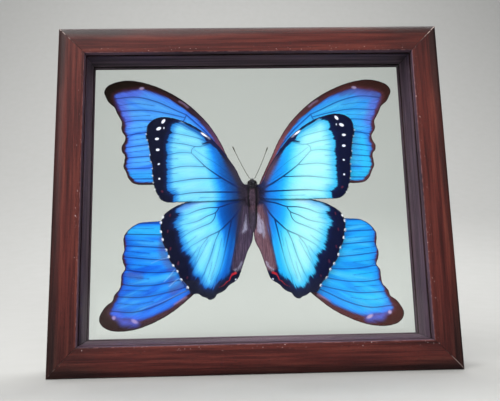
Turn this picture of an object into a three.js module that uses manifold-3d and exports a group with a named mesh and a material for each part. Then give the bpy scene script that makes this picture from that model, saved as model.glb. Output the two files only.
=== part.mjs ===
// A deep display frame with glass in front and behind. A blue butterfly with its wings spread
// hangs in the middle of it, over four larger loose forewings that lie on the back glass.
// Millimetres, +Z up, the front looks along -Y. The origin is the middle of the bottom edge.

import * as THREE from 'three';
import { mergeVertices } from 'three/addons/utils/BufferGeometryUtils.js';
import Module from 'manifold-3d';

const frameWidth = 178;
const frameHeight = 156;
const frameDepth = 25.6;
const railWidth = 12.9;

const outerEdgeSetBack = 3.2;
const faceCurveWidth = 7.4;
const arrisRadius = 0.5;
const grooveDepth = 3.2;
const grooveWidth = 2.6;
const frontLipDepth = 3.3;
const mitreGap = 0.21;

const glassThickness = 2;
const glassClearance = 0.3;

const frontWingPlane = 3.3;
const hindwingDrop = 0.75;
const rootLift = 1.5;
const rootLiftLength = 11;
const frontWingCamber = 0.25;
const backWingPlane = 6.7;
const backWingCamber = 0.5;
const wingThickness = 0.3;
const outlineSteps = 56;
const wingRings = [1, 0.66, 0.33];

const bodyMidline = 0.6;
const bodyPlane = 3.4;
const eyeRadius = 0.95;
const antennaRadius = 0.2;

const halfDepth = frameDepth / 2;
const sightCentreHeight = frameHeight / 2;
const sightHalfWidth = frameWidth / 2 - railWidth;
const sightHalfHeight = frameHeight / 2 - railWidth;
const grooveOuter = halfDepth - frontLipDepth;
const grooveInner = grooveOuter - grooveWidth;
const glassPlane = (grooveOuter + grooveInner) / 2;

const part = new THREE.Group();

function addPiece(name, geometry, colour, roughness, options = {}) {
  const material = new THREE.MeshStandardMaterial({ color: colour, roughness, metalness: 0, ...options });
  const mesh = new THREE.Mesh(geometry, material);
  mesh.name = name;
  part.add(mesh);
  return mesh;
}

// Rails. The section runs from the outer edge inwards (x) and from front to back (y). Both faces
// are flat near the glass and curve away to the outer edge, and a groove near each holds a pane.

function halfSection(side) {
  const path = new THREE.Path();
  path.moveTo(0, side * (halfDepth - outerEdgeSetBack));
  path.bezierCurveTo(
    0, side * (halfDepth - outerEdgeSetBack / 2),
    faceCurveWidth * 0.35, side * halfDepth,
    faceCurveWidth, side * halfDepth,
  );
  path.lineTo(railWidth - arrisRadius, side * halfDepth);
  path.quadraticCurveTo(railWidth, side * halfDepth, railWidth, side * (halfDepth - arrisRadius));
  path.lineTo(railWidth, side * grooveOuter);
  path.lineTo(railWidth - grooveDepth, side * grooveOuter);
  path.lineTo(railWidth - grooveDepth, side * grooveInner);
  path.lineTo(railWidth, side * grooveInner);
  return path.getPoints(5);
}

function railGeometry(length) {
  const section = new THREE.Shape([...halfSection(-1), ...halfSection(1).reverse()]);
  const geometry = new THREE.ExtrudeGeometry(section, { depth: 1, bevelEnabled: false });
  const position = geometry.attributes.position;
  for (let i = 0; i < position.count; i += 1) {
    const inward = position.getX(i);
    const halfLength = length / 2 - inward - mitreGap;
    const along = (1 - 2 * position.getZ(i)) * halfLength;
    position.setXYZ(i, along, position.getY(i), inward);
  }
  return geometry;
}

function addRail(name, length, x, z, turn) {
  const rail = addPiece(name, railGeometry(length), 0x5a3029, 0.45);
  rail.position.set(x, 0, z);
  rail.rotation.y = turn;
}

addRail('rail_bottom', frameWidth, 0, 0, 0);
addRail('rail_top', frameWidth, 0, frameHeight, Math.PI);
addRail('rail_left', frameHeight, -frameWidth / 2, sightCentreHeight, Math.PI / 2);
addRail('rail_right', frameHeight, frameWidth / 2, sightCentreHeight, -Math.PI / 2);

// Glass. Each pane stands in the grooves of all four rails.

function addPane(name, y) {
  const reach = grooveDepth - glassClearance;
  const width = 2 * (sightHalfWidth + reach);
  const height = 2 * (sightHalfHeight + reach);
  const geometry = new THREE.BoxGeometry(width, glassThickness, height);
  const pane = addPiece(name, geometry, 0xdfeeea, 0.05, { transparent: true, opacity: 0.25 });
  pane.position.set(0, y, sightCentreHeight);
}

addPane('glass_front', -glassPlane);
addPane('glass_back', glassPlane);

// Wings. An outline is a smooth closed curve through points of the left wing, x and z from the
// middle of the glass. A wing is a thin shell over rings of that outline, drawn in to a point.

const forewingOutline = [
  [-3.2, 0.4], [-3.3, 4.6], [-7, 12.2], [-10.5, 17.6], [-14, 22.4], [-17.5, 26.4], [-20.5, 29.1],
  [-26, 33.1], [-32, 36.1], [-39.8, 38.1], [-44, 37.8], [-46.9, 36.4], [-48.9, 34], [-49.2, 31.4],
  [-49.5, 28.4], [-48.4, 25.6], [-48.1, 23.2], [-47.5, 20.6], [-47.6, 17.9], [-46.4, 14.8],
  [-46.5, 11.6], [-46.1, 8.4], [-45.6, 5.1], [-44.5, 1.8], [-42.8, -1.1], [-40, -2.9],
  [-34.2, -3.1], [-20, -3], [-8, -1.8],
];

const hindwingOutline = [
  [-3.6, -1.6], [-12, -1.2], [-19.8, -1.5], [-28.7, -2.6], [-35.7, -5], [-40.4, -8.3],
  [-42.2, -11.8], [-42.6, -15.2], [-41.8, -18.4], [-41.3, -22], [-39.4, -25.6], [-38.3, -29.6],
  [-36.3, -32.4], [-34.4, -35.1], [-33.4, -37.8], [-30.7, -40.7], [-28.4, -44.4], [-25.6, -45.2],
  [-21.7, -46.8], [-19.2, -47.8], [-17, -46.6], [-14.6, -44.7], [-11.6, -42.2], [-8.6, -40],
  [-6.3, -37.4], [-4.8, -33.4], [-2.4, -26.6], [-0.2, -21.4], [-1.3, -16], [-2.4, -9], [-3.7, -4.6],
];

const backWingUpperOutline = [
  [-3.2, 1.2], [-4.6, 5.4], [-8.4, 13.8], [-11.2, 19.8], [-14, 26], [-20, 35.5], [-30, 45.6], [-40, 52.1],
  [-50, 56.2], [-59, 57.8], [-65, 56.9], [-69.2, 54.8], [-70.6, 51.9], [-69.6, 49], [-68.3, 46.6],
  [-65.5, 44.1], [-64.2, 41.3], [-62.6, 38.4], [-61.7, 36.4], [-62, 33.6], [-61.4, 31.7],
  [-60, 29.4], [-60.3, 27.3], [-61.7, 24.4], [-61.5, 22.2], [-60.1, 20.2], [-60.3, 17.2],
  [-60.6, 14.6], [-59.5, 12.3], [-58.1, 9], [-56, 6.8], [-53.4, 6], [-46, 5.8], [-30, 5], [-12, 2.6],
];

const backWingLowerOutline = [
  [-2, -3.4], [-2.2, -6], [-6, -14], [-12, -26], [-20, -38], [-27.9, -45.9], [-37.5, -53.4],
  [-45.8, -57.8], [-53.3, -60.4], [-60.5, -61.3], [-66, -60.6], [-69.5, -58.4], [-70.6, -55.4],
  [-69.2, -52.1], [-67.5, -49.8], [-64.7, -47.6], [-63.9, -45.2], [-61.4, -42.1], [-60.9, -39],
  [-60.7, -35.8], [-59.1, -33.2], [-60.1, -30.4], [-60.5, -27.4], [-59.6, -24.6], [-60, -21.2],
  [-59.9, -18.6], [-58.4, -16], [-56, -13.8], [-52.4, -12.1], [-46, -11.6], [-32, -10.6], [-14, -6.4],
];

function placeOutline(outline, { side, midline, turn }) {
  const knots = outline.map(([x, z]) => new THREE.Vector3(x, 0, z));
  const points = new THREE.CatmullRomCurve3(knots, true, 'centripetal').getSpacedPoints(outlineSteps);
  points.pop();
  if (side > 0) points.forEach((point) => point.setX(2 * midline - point.x));
  const flat = points.map((point) => new THREE.Vector2(point.x, point.z));
  if (THREE.ShapeUtils.isClockWise(flat)) points.reverse();
  const root = new THREE.Vector3(midline, 0, outline[0][1]);
  const towardsBack = new THREE.Vector3(0, 1, 0);
  const angle = THREE.MathUtils.degToRad(turn);
  points.forEach((point) => point.sub(root).applyAxisAngle(towardsBack, angle).add(root));
  return points;
}

function wingGeometry(outline, surface) {
  const count = outline.length;
  const centre = new THREE.Vector3();
  outline.forEach((point) => centre.addScaledVector(point, 1 / count));
  const vertices = [];
  const addVertex = (x, z, scale, offset) => {
    vertices.push(x, surface(x, z, scale) + offset, z + sightCentreHeight);
  };
  [-wingThickness / 2, wingThickness / 2].forEach((offset) => {
    wingRings.forEach((scale) => {
      outline.forEach((point) => {
        const x = centre.x + (point.x - centre.x) * scale;
        const z = centre.z + (point.z - centre.z) * scale;
        addVertex(x, z, scale, offset);
      });
    });
    addVertex(centre.x, centre.z, 0, offset);
  });
  const geometry = new THREE.BufferGeometry();
  geometry.setAttribute('position', new THREE.Float32BufferAttribute(vertices, 3));
  geometry.setIndex(wingFaces(count));
  return geometry;
}

function wingFaces(count) {
  const faces = [];
  const backStart = count * wingRings.length + 1;
  const frontCentre = backStart - 1;
  const backCentre = frontCentre + backStart;
  const quad = (a, b, c, d) => faces.push(a, b, c, a, c, d);
  for (let i = 0; i < count; i += 1) {
    const next = (i + 1) % count;
    for (let ring = 0; ring < wingRings.length - 1; ring += 1) {
      const outer = ring * count;
      const inner = outer + count;
      quad(outer + i, outer + next, inner + next, inner + i);
      quad(backStart + outer + i, backStart + inner + i, backStart + inner + next, backStart + outer + next);
    }
    const last = (wingRings.length - 1) * count;
    faces.push(last + i, last + next, frontCentre);
    faces.push(backStart + last + next, backStart + last + i, backCentre);
    quad(i, backStart + i, backStart + next, next);
  }
  return faces;
}

function frontSurface(drop) {
  return (x, z, scale) => {
    const lift = rootLift * Math.exp(-Math.abs(x - bodyMidline) / rootLiftLength);
    return frontWingPlane + drop - lift - frontWingCamber * (1 - scale * scale);
  };
}

function backSurface(x, z, scale) {
  return backWingPlane - backWingCamber * (1 - scale * scale);
}

function addWing(name, outline, surface, colour, placement) {
  const geometry = wingGeometry(placeOutline(outline, placement), surface);
  addPiece(name, geometry, colour, 0.4);
}

const leftPair = { side: -1, midline: 0.8, turn: 0 };
const rightForewing = { side: 1, midline: 0.8, turn: -1 };
const rightHindwing = { side: 1, midline: 0.8, turn: 0.6 };
addWing('forewing_left', forewingOutline, frontSurface(0), 0x4fb8f0, leftPair);
addWing('forewing_right', forewingOutline, frontSurface(0), 0x66ccf5, rightForewing);
addWing('hindwing_left', hindwingOutline, frontSurface(hindwingDrop), 0x45aeea, leftPair);
addWing('hindwing_right', hindwingOutline, frontSurface(hindwingDrop), 0x66ccf5, rightHindwing);

const upperLeft = { side: -1, midline: -0.25, turn: 0 };
const upperRight = { side: 1, midline: -0.25, turn: 0.7 };
const lowerLeft = { side: -1, midline: -0.4, turn: 0 };
const lowerRight = { side: 1, midline: -0.4, turn: 0 };
addWing('back_wing_upper_left', backWingUpperOutline, backSurface, 0x4d79e6, upperLeft);
addWing('back_wing_upper_right', backWingUpperOutline, backSurface, 0x4fa6f0, upperRight);
addWing('back_wing_lower_left', backWingLowerOutline, backSurface, 0x3a86e6, lowerLeft);
addWing('back_wing_lower_right', backWingLowerOutline, backSurface, 0x2fa3ea, lowerRight);

// Body. Head, thorax and ringed abdomen are one turned shape, flattened from front to back, with
// the eyes and the two short mouth palps grown on to the head.

function turnedProfile() {
  const outline = [
    [0.9, 7], [1.5, 6.3], [1.75, 5.4], [1.45, 4.6], [1.9, 4.1], [2.8, 3], [3.25, 1.2], [3.3, -0.8],
    [3, -2.8], [2.5, -4.6], [2.05, -5.6],
  ];
  const profile = [[0, 7.3], ...outline];
  const segments = 7;
  const top = -6;
  const length = 11.4;
  for (let i = 0; i < segments; i += 1) {
    const bulge = top - ((i + 0.45) / segments) * length;
    const crease = top - ((i + 1) / segments) * length;
    profile.push([abdomenRadius((i + 0.45) / segments), bulge]);
    profile.push([abdomenRadius((i + 1) / segments) * 0.93, crease]);
  }
  profile.push([0, top - length - 0.4]);
  return profile.reverse().map(([radius, z]) => new THREE.Vector2(radius, z));
}

function abdomenRadius(t) {
  return 0.5 + 1.75 * Math.sqrt(1 - t ** 2.6);
}

function flattening(z) {
  return z > 4.4 ? 0.85 : THREE.MathUtils.mapLinear(z, 4.4, -17, 0.78, 0.92);
}

function turnedBody() {
  const geometry = new THREE.LatheGeometry(turnedProfile(), 20);
  geometry.rotateX(Math.PI / 2);
  const position = geometry.attributes.position;
  for (let i = 0; i < position.count; i += 1) {
    position.setY(i, position.getY(i) * flattening(position.getZ(i)));
  }
  return geometry;
}

const wasm = await Module();
wasm.setup();

function toSolid(geometry) {
  const bare = geometry.clone();
  bare.deleteAttribute('normal');
  bare.deleteAttribute('uv');
  const merged = mergeVertices(bare);
  return new wasm.Manifold(new wasm.Mesh({
    numProp: 3,
    vertProperties: new Float32Array(merged.attributes.position.array),
    triVerts: new Uint32Array(merged.index.array),
  }));
}

function toGeometry(solid) {
  const mesh = solid.getMesh();
  const geometry = new THREE.BufferGeometry();
  geometry.setAttribute('position', new THREE.BufferAttribute(mesh.vertProperties, 3));
  geometry.setIndex(new THREE.BufferAttribute(mesh.triVerts, 1));
  return geometry;
}

function headDetail(side) {
  const eye = new THREE.SphereGeometry(eyeRadius, 12, 8);
  eye.scale(0.8, 1, 1.05);
  eye.translate(side * 1.3, -0.2, 5.7);
  const palp = new THREE.ConeGeometry(0.4, 1.5, 8);
  palp.rotateX(Math.PI / 2);
  palp.translate(side * 0.45, -0.3, 7.2);
  return toSolid(eye).add(toSolid(palp));
}

const bodySolid = toSolid(turnedBody()).add(headDetail(-1)).add(headDetail(1));
const body = addPiece('body', toGeometry(bodySolid), 0x2c2024, 0.8);
body.position.set(bodyMidline, bodyPlane, sightCentreHeight);

// Antennae. Thin stalks that end in a slight club, a turned shape laid along a curve.

function stalkGeometry(curve) {
  const profile = [
    [0, 0], [1, 0], [1, 0.25], [1, 0.5], [1, 0.75], [1.3, 0.86], [1.8, 0.94], [1.4, 0.99], [0, 1],
  ];
  const points = profile.map(([radius, t]) => new THREE.Vector2(radius * antennaRadius, t));
  const geometry = new THREE.LatheGeometry(points, 8);
  const position = geometry.attributes.position;
  const across = new THREE.Vector3();
  const depth = new THREE.Vector3(0, 1, 0);
  for (let i = 0; i < position.count; i += 1) {
    const t = THREE.MathUtils.clamp(position.getY(i), 0, 1);
    across.crossVectors(depth, curve.getTangent(t)).normalize();
    const point = curve.getPoint(t);
    point.addScaledVector(across, -position.getX(i));
    point.addScaledVector(depth, position.getZ(i));
    position.setXYZ(i, point.x, point.y, point.z);
  }
  return geometry;
}

function addAntenna(name, side, tipX, tipZ) {
  const base = new THREE.Vector3(bodyMidline + side * 1.2, bodyPlane - 1.2, 7.5);
  const tip = new THREE.Vector3(tipX, frontWingPlane - 0.6, tipZ);
  const bend = base.clone().lerp(tip, 0.5).add(new THREE.Vector3(side * 0.5, -0.5, -0.3));
  const curve = new THREE.QuadraticBezierCurve3(base, bend, tip);
  const antenna = addPiece(name, stalkGeometry(curve), 0x35361f, 0.7);
  antenna.position.z = sightCentreHeight;
}

addAntenna('antenna_left', -1, -8.3, 23.2);
addAntenna('antenna_right', 1, 8.4, 22.6);

export default part;
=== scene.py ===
import math

import bmesh
import bpy
import numpy as np
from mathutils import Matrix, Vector
from mathutils.geometry import delaunay_2d_cdt


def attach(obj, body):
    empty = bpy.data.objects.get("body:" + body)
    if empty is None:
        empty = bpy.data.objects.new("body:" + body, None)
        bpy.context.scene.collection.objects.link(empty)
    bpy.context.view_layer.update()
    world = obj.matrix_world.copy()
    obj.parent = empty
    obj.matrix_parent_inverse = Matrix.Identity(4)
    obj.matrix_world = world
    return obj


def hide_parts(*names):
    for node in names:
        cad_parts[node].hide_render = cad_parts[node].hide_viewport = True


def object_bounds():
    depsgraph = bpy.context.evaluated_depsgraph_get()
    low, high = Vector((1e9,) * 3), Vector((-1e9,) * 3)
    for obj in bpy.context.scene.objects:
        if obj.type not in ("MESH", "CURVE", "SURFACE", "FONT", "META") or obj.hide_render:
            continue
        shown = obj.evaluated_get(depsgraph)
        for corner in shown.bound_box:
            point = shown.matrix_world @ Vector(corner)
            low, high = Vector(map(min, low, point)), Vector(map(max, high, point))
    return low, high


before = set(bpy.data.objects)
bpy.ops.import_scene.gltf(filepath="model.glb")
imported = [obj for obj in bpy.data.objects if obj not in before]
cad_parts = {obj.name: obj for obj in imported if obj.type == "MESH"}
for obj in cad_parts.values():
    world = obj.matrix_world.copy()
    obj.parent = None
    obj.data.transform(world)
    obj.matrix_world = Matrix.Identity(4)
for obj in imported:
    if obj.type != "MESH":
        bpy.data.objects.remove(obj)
cadBox = [list(corner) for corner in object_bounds()]
print("frame loaded:", len(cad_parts), "nodes")

mm = 0.001
frameWidth = (cadBox[1][0] - cadBox[0][0]) / mm
frameHeight = (cadBox[1][2] - cadBox[0][2]) / mm
halfDepth = cadBox[1][1] / mm
sightHeight = frameHeight / 2  # the middle of the window is the wings' own zero
bodyAxis = 0.6  # how far the body hangs to the right of it


# shader and geometry trees, written as sums

def ink(red, green, blue):  # a screen colour, 0 to 255, as linear light
    channels = [value / 255 for value in (red, green, blue)]
    linear = [c / 12.92 if c < 0.04045 else ((c + 0.055) / 1.055) ** 2.4 for c in channels]
    return (*linear, 1.0)


class Signal:
    def __init__(self, tree, socket):
        self.tree = tree
        self.socket = socket

    def sum(self, operation, other, swapped=False):
        pair = (other, self) if swapped else (self, other)
        return self.tree.node("ShaderNodeMath", {"operation": operation}, {0: pair[0], 1: pair[1]})

    def __add__(self, other):
        return self.sum("ADD", other)

    def __sub__(self, other):
        return self.sum("SUBTRACT", other)

    def __rsub__(self, other):
        return self.sum("SUBTRACT", other, True)

    def __mul__(self, other):
        return self.sum("MULTIPLY", other)

    def __truediv__(self, other):
        return self.sum("DIVIDE", other)

    __radd__ = __add__
    __rmul__ = __mul__

    def size(self):
        return self.tree.node("ShaderNodeMath", {"operation": "ABSOLUTE"}, {0: self})

    def wave(self):
        return self.tree.node("ShaderNodeMath", {"operation": "SINE"}, {0: self})

    def above(self, low, high):  # 0 under low, 1 over high, soft between them
        settings = {"interpolation_type": "SMOOTHSTEP"}
        inputs = {"Value": self, "From Min": low, "From Max": high, "To Min": 0.0, "To Max": 1.0}
        return self.tree.node("ShaderNodeMapRange", settings, inputs)

    def below(self, low, high):
        return 1 - self.above(low, high)

    def beside(self, output):  # another output of the same node
        return Signal(self.tree, self.socket.node.outputs[output])


class Tree:
    def __init__(self, nodeTree):
        self.nodeTree = nodeTree

    def node(self, kind, settings=None, inputs=None, output=0):
        made = self.nodeTree.nodes.new(kind)
        for name, value in (settings or {}).items():
            if name == "stops":
                self.setStops(made.color_ramp, value)
            else:
                setattr(made, name, value)
        for name, value in (inputs or {}).items():
            self.feed(made.inputs[name], value)
        return Signal(self, made.outputs[output]) if made.outputs else None

    def setStops(self, ramp, stops):
        while len(ramp.elements) < len(stops):
            ramp.elements.new(1.0)
        for element, (position, colour) in zip(ramp.elements, stops):
            element.position = position
            element.color = colour

    def feed(self, socket, value):
        if isinstance(value, Signal):
            self.nodeTree.links.new(value.socket, socket)
        else:
            socket.default_value = value

    def scaled(self, vector, factor):
        return self.node("ShaderNodeVectorMath", {"operation": "SCALE"}, {0: vector, 3: factor})

    def joined(self, first, second):
        return self.node("ShaderNodeVectorMath", {"operation": "ADD"}, {0: first, 1: second})


class Finish(Tree):
    def __init__(self, name, constants=None):
        self.material = bpy.data.materials.new(name)
        self.material.use_nodes = True
        super().__init__(self.material.node_tree)
        self.shader = self.nodeTree.nodes["Principled BSDF"]
        for socket, value in (constants or {}).items():
            self.shader.inputs[socket].default_value = value

    def surface(self, **varying):
        for socket, value in varying.items():
            self.feed(self.shader.inputs[socket.replace("_", " ")], value)
        return self.material

    def field(self, name):
        return self.node("ShaderNodeAttribute", {"attribute_name": name}, output="Fac")

    def stretched(self, vector, *factors):
        return self.node("ShaderNodeVectorMath", {"operation": "MULTIPLY"}, {0: vector, 1: factors})

    def vectorField(self, name):
        return self.node("ShaderNodeAttribute", {"attribute_name": name}, output="Vector")

    def place(self, x=1, y=1, z=1):  # where a point is, in millimetres, stretched along each axis
        place = self.node("ShaderNodeTexCoord", output="Object")
        return self.stretched(place, x / mm, y / mm, z / mm)

    def axis(self, vector, index):
        return self.node("ShaderNodeSeparateXYZ", inputs={0: vector}, output=index)

    def noise(self, vector, detail=2.0, roughness=0.5):
        inputs = {"Vector": vector, "Scale": 1.0, "Detail": detail, "Roughness": roughness}
        return self.node("ShaderNodeTexNoise", inputs=inputs)

    def cells(self, vector, scale):
        return self.node("ShaderNodeTexVoronoi", inputs={"Vector": vector, "Scale": scale})

    def ramp(self, signal, stops):  # a stop is its place, 0 to 1, and a screen colour
        stops = [(at, ink(*shade)) for at, shade in stops]
        return self.node("ShaderNodeValToRGB", {"stops": stops}, {0: signal})

    def mix(self, mask, first, second):  # each is a signal or a screen colour
        first, second = [ink(*shade) if isinstance(shade, tuple) else shade for shade in (first, second)]
        return self.node("ShaderNodeMix", {"data_type": "RGBA"}, {0: mask, 6: first, 7: second}, output=2)

    def bump(self, height, distance, strength=1.0):
        inputs = {"Height": height, "Distance": distance, "Strength": strength}
        return self.node("ShaderNodeBump", inputs=inputs)


# curves and distances, in millimetres

def between(first, second, low, high, t):
    return first + (second - first) * (t - low) / (high - low)


def curvePoint(quad, ticks, t):
    near = [between(quad[i], quad[i + 1], ticks[i], ticks[i + 1], t) for i in range(3)]
    nearer = [between(near[i], near[i + 1], ticks[i], ticks[i + 2], t) for i in range(2)]
    return between(nearer[0], nearer[1], ticks[1], ticks[2], t)


def smoothLine(knots, step, closed=False):
    knots = np.array(knots, float)
    count = len(knots)
    points = []
    for i in range(count if closed else count - 1):
        before = knots[i - 1] if closed or i else 2 * knots[0] - knots[1]
        after = knots[(i + 2) % count] if closed or i < count - 2 else 2 * knots[-1] - knots[-2]
        quad = [before, knots[i], knots[(i + 1) % count], after]
        ticks = [0.0]
        for first, second in zip(quad, quad[1:]):
            ticks.append(ticks[-1] + max(np.linalg.norm(second - first), 1e-6) ** 0.5)
        parts = max(1, round(np.linalg.norm(quad[2] - quad[1]) / step))
        ts = np.linspace(ticks[1], ticks[2], parts, endpoint=False)
        points.extend(curvePoint(quad, ticks, t) for t in ts)
    if not closed:
        points.append(knots[-1])
    return np.array(points)


def distanceTo(points, path):  # and where along the path, 0 to 1, the nearest place is
    best = np.full(len(points), 1e9)
    along = np.zeros(len(points))
    for i, (start, end) in enumerate(zip(path, path[1:])):
        run = end - start
        t = np.clip(((points - start) @ run) / max(run @ run, 1e-9), 0, 1)
        gap = np.linalg.norm(points - (start + t[:, None] * run), axis=1)
        closer = gap < best
        best[closer] = gap[closer]
        along[closer] = (i + t[closer]) / (len(path) - 1)
    return best, along


def isInside(points, loop):
    inside = np.zeros(len(points), bool)
    for start, end in zip(loop, np.roll(loop, -1, axis=0)):
        if start[1] == end[1]:
            continue
        crosses = (start[1] > points[:, 1]) != (end[1] > points[:, 1])
        x = between(start[0], end[0], start[1], end[1], points[:, 1])
        inside ^= crosses & (points[:, 0] < x)
    return inside


def depthInside(points, loop):  # distance to the loop, positive inside it
    gap, _ = distanceTo(points, np.vstack([loop, loop[:1]]))
    return np.where(isInside(points, loop), gap, -gap)


def makeMesh(name, vertices, faces, fields=None, creaseAngle=40):
    mesh = bpy.data.meshes.new(name)
    mesh.from_pydata((np.array(vertices, float) * mm).tolist(), [], faces)
    for fieldName, values in (fields or {}).items():
        values = np.array(values, np.float32)
        kind = "FLOAT" if values.ndim == 1 else "FLOAT_VECTOR"
        attribute = mesh.attributes.new(fieldName, kind, "POINT")
        attribute.data.foreach_set("value" if kind == "FLOAT" else "vector", values.ravel())
    mesh.shade_smooth()
    mesh.set_sharp_from_angle(angle=math.radians(creaseAngle))
    mesh.validate()
    return mesh


def makePiece(name, vertices, faces, fields=None, creaseAngle=40):
    piece = bpy.data.objects.new(name, makeMesh(name, vertices, faces, fields, creaseAngle))
    bpy.context.scene.collection.objects.link(piece)
    return piece


def ringFaces(rows, around):  # quads between rings of points that follow one another
    faces = []
    for row in range(rows - 1):
        for i in range(around):
            j = (i + 1) % around
            faces.append((row * around + i, row * around + j, (row + 1) * around + j, (row + 1) * around + i))
    return faces


def facesOut(mesh):
    work = bmesh.new()
    work.from_mesh(mesh)
    bmesh.ops.recalc_face_normals(work, faces=work.faces)
    work.to_mesh(mesh)
    work.free()


def settle(piece, material, slot, *nodes):
    piece.data.materials.clear()
    piece.data.materials.append(material)
    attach(piece, "root")
    if nodes:
        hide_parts(*nodes)


# rails: four lengths of one moulding with two saw cuts inside, mitred at the corners

railSettings = {
    "width": 12.9, "setBack": 3.2, "curve": 7.4, "arris": 0.5, "groove": 3.2, "grooveWidth": 2.6,
    "grooveBevel": 0.12, "lip": 3.3, "mitreGap": 0.04, "stations": 41,
}


def bezier(points, count):
    ts = np.linspace(0, 1, count)[:, None]
    a, b, c, d = np.array(points, float)
    return (1 - ts) ** 3 * a + 3 * ts * (1 - ts) ** 2 * b + 3 * ts ** 2 * (1 - ts) * c + ts ** 3 * d


def halfProfile(side, s):  # from the outer edge over the face to the second groove wall
    width, curve, arris, bevel = s["width"], s["curve"], s["arris"], s["grooveBevel"]
    setBack = s["setBack"]
    face = bezier([
        (0, halfDepth - setBack), (0, halfDepth - setBack / 2), (curve * 0.35, halfDepth), (curve, halfDepth),
    ], 15)
    flat = [(curve + t * (width - arris - curve), halfDepth) for t in (0.33, 0.67)]
    turn = np.linspace(0, math.pi / 2, 6)
    centre = np.array((width - arris, halfDepth - arris))
    rounded = centre + arris * np.column_stack([np.sin(turn), np.cos(turn)])
    outerWall = halfDepth - s["lip"]
    innerWall = outerWall - s["grooveWidth"]
    bottom = width - s["groove"]
    inner = [
        (width, outerWall + 1), (width, outerWall + bevel), (width - bevel, outerWall), (bottom, outerWall),
        (bottom, innerWall), (width - bevel, innerWall), (width, innerWall - bevel),
    ]
    return np.vstack([face, flat, rounded, inner]) * (1, side)


def railProfile(s):
    middle = [(s["width"], y) for y in (-3.0, 0.0, 3.0)]
    outer = [(0, y) for y in (5.0, 0.0, -5.0)]
    return np.vstack([halfProfile(-1, s), middle, halfProfile(1, s)[::-1], outer])


def railPiece(name, length, place, paleMitres, seed, s):
    profile = railProfile(s)
    steps = np.linalg.norm(np.diff(profile, axis=0, append=profile[:1]), axis=1)
    wrap = np.concatenate([[0], np.cumsum(steps)[:-1]])
    ts = np.linspace(-1, 1, s["stations"])
    vertices, fields = [], {"grain": [], "corner": [], "inward": [], "front": [], "filler": []}
    for t in ts:
        for (inward, y), around in zip(profile, wrap):
            halfLength = length / 2 - inward - s["mitreGap"]
            along = t * halfLength
            vertices.append(place(along, y, inward))
            fields["grain"].append((along, around, seed))
            fields["corner"].append((length / 2 - inward) - abs(along))
            fields["inward"].append(inward)
            fields["front"].append(-y)
            fields["filler"].append(paleMitres[0] if along < 0 else paleMitres[1])
    count = len(profile)
    last = count * (len(ts) - 1)
    faces = [tuple(range(count)), tuple(range(last, last + count))] + ringFaces(len(ts), count)
    piece = makePiece(name, vertices, faces, fields, 35)
    facesOut(piece.data)
    return piece


def stainedWood():
    finish = Finish("stainedWood", {"Coat Roughness": 0.22, "IOR": 1.5, "Specular IOR Level": 0.3})
    grain = finish.vectorField("grain")
    corner = finish.field("corner")
    inward = finish.field("inward")
    front = finish.field("front")
    figure = finish.noise(finish.stretched(grain, 0.018, 0.5, 3.1), 5.0, 0.6)
    lines = finish.noise(finish.stretched(grain, 0.05, 2.6, 7.7), 3.0, 0.6)
    pores = finish.noise(finish.stretched(grain, 0.5, 9.0, 5.3))
    blotch = finish.noise(finish.place(0.03, 0.03, 0.03))
    stain = finish.ramp(figure + (lines - 0.5) * 0.35, [
        (0.28, (46, 20, 19)), (0.44, (68, 28, 26)), (0.56, (86, 37, 32)), (0.74, (106, 52, 42)),
    ])
    # The outer slope is darkened partly as a darker stain and partly as painted shade of the slope; the
    # corners and blotches are stain.
    outerSlopeStainAndShade = inward.below(0.5, 7.5) * (front.size().above(8.2, 10.4) * 0.4 + 0.32)
    darkStainAndShade = corner.below(2, 42) * 0.4 + outerSlopeStainAndShade + (blotch - 0.5) * 0.9
    dark = finish.ramp(figure + (lines - 0.5) * 0.4, [
        (0.30, (26, 14, 14)), (0.50, (44, 25, 24)), (0.75, (64, 37, 32)),
    ])
    colour = finish.mix(darkStainAndShade.above(0.1, 1.05), stain, dark)
    colour = finish.mix(pores.below(0.36, 0.44) * 0.55, colour, (20, 12, 12))
    isInner = inward.above(12.62, 12.86)
    inner = finish.ramp(figure + (lines - 0.5) * 0.3, [
        (0.3, (48, 38, 46)), (0.5, (80, 60, 72)), (0.7, (110, 85, 99)),
    ])
    colour = finish.mix(isInner, colour, inner)
    # The grooves are painted near black: painted shade in the recess.
    grooveShade = front.size().above(6.8, 6.95) * front.size().below(9.45, 9.6) * inward.above(9.5, 9.6)
    colour = finish.mix(grooveShade, colour, (16, 14, 16))
    return finish, colour, corner, inward, front, pores, lines, isInner


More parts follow.
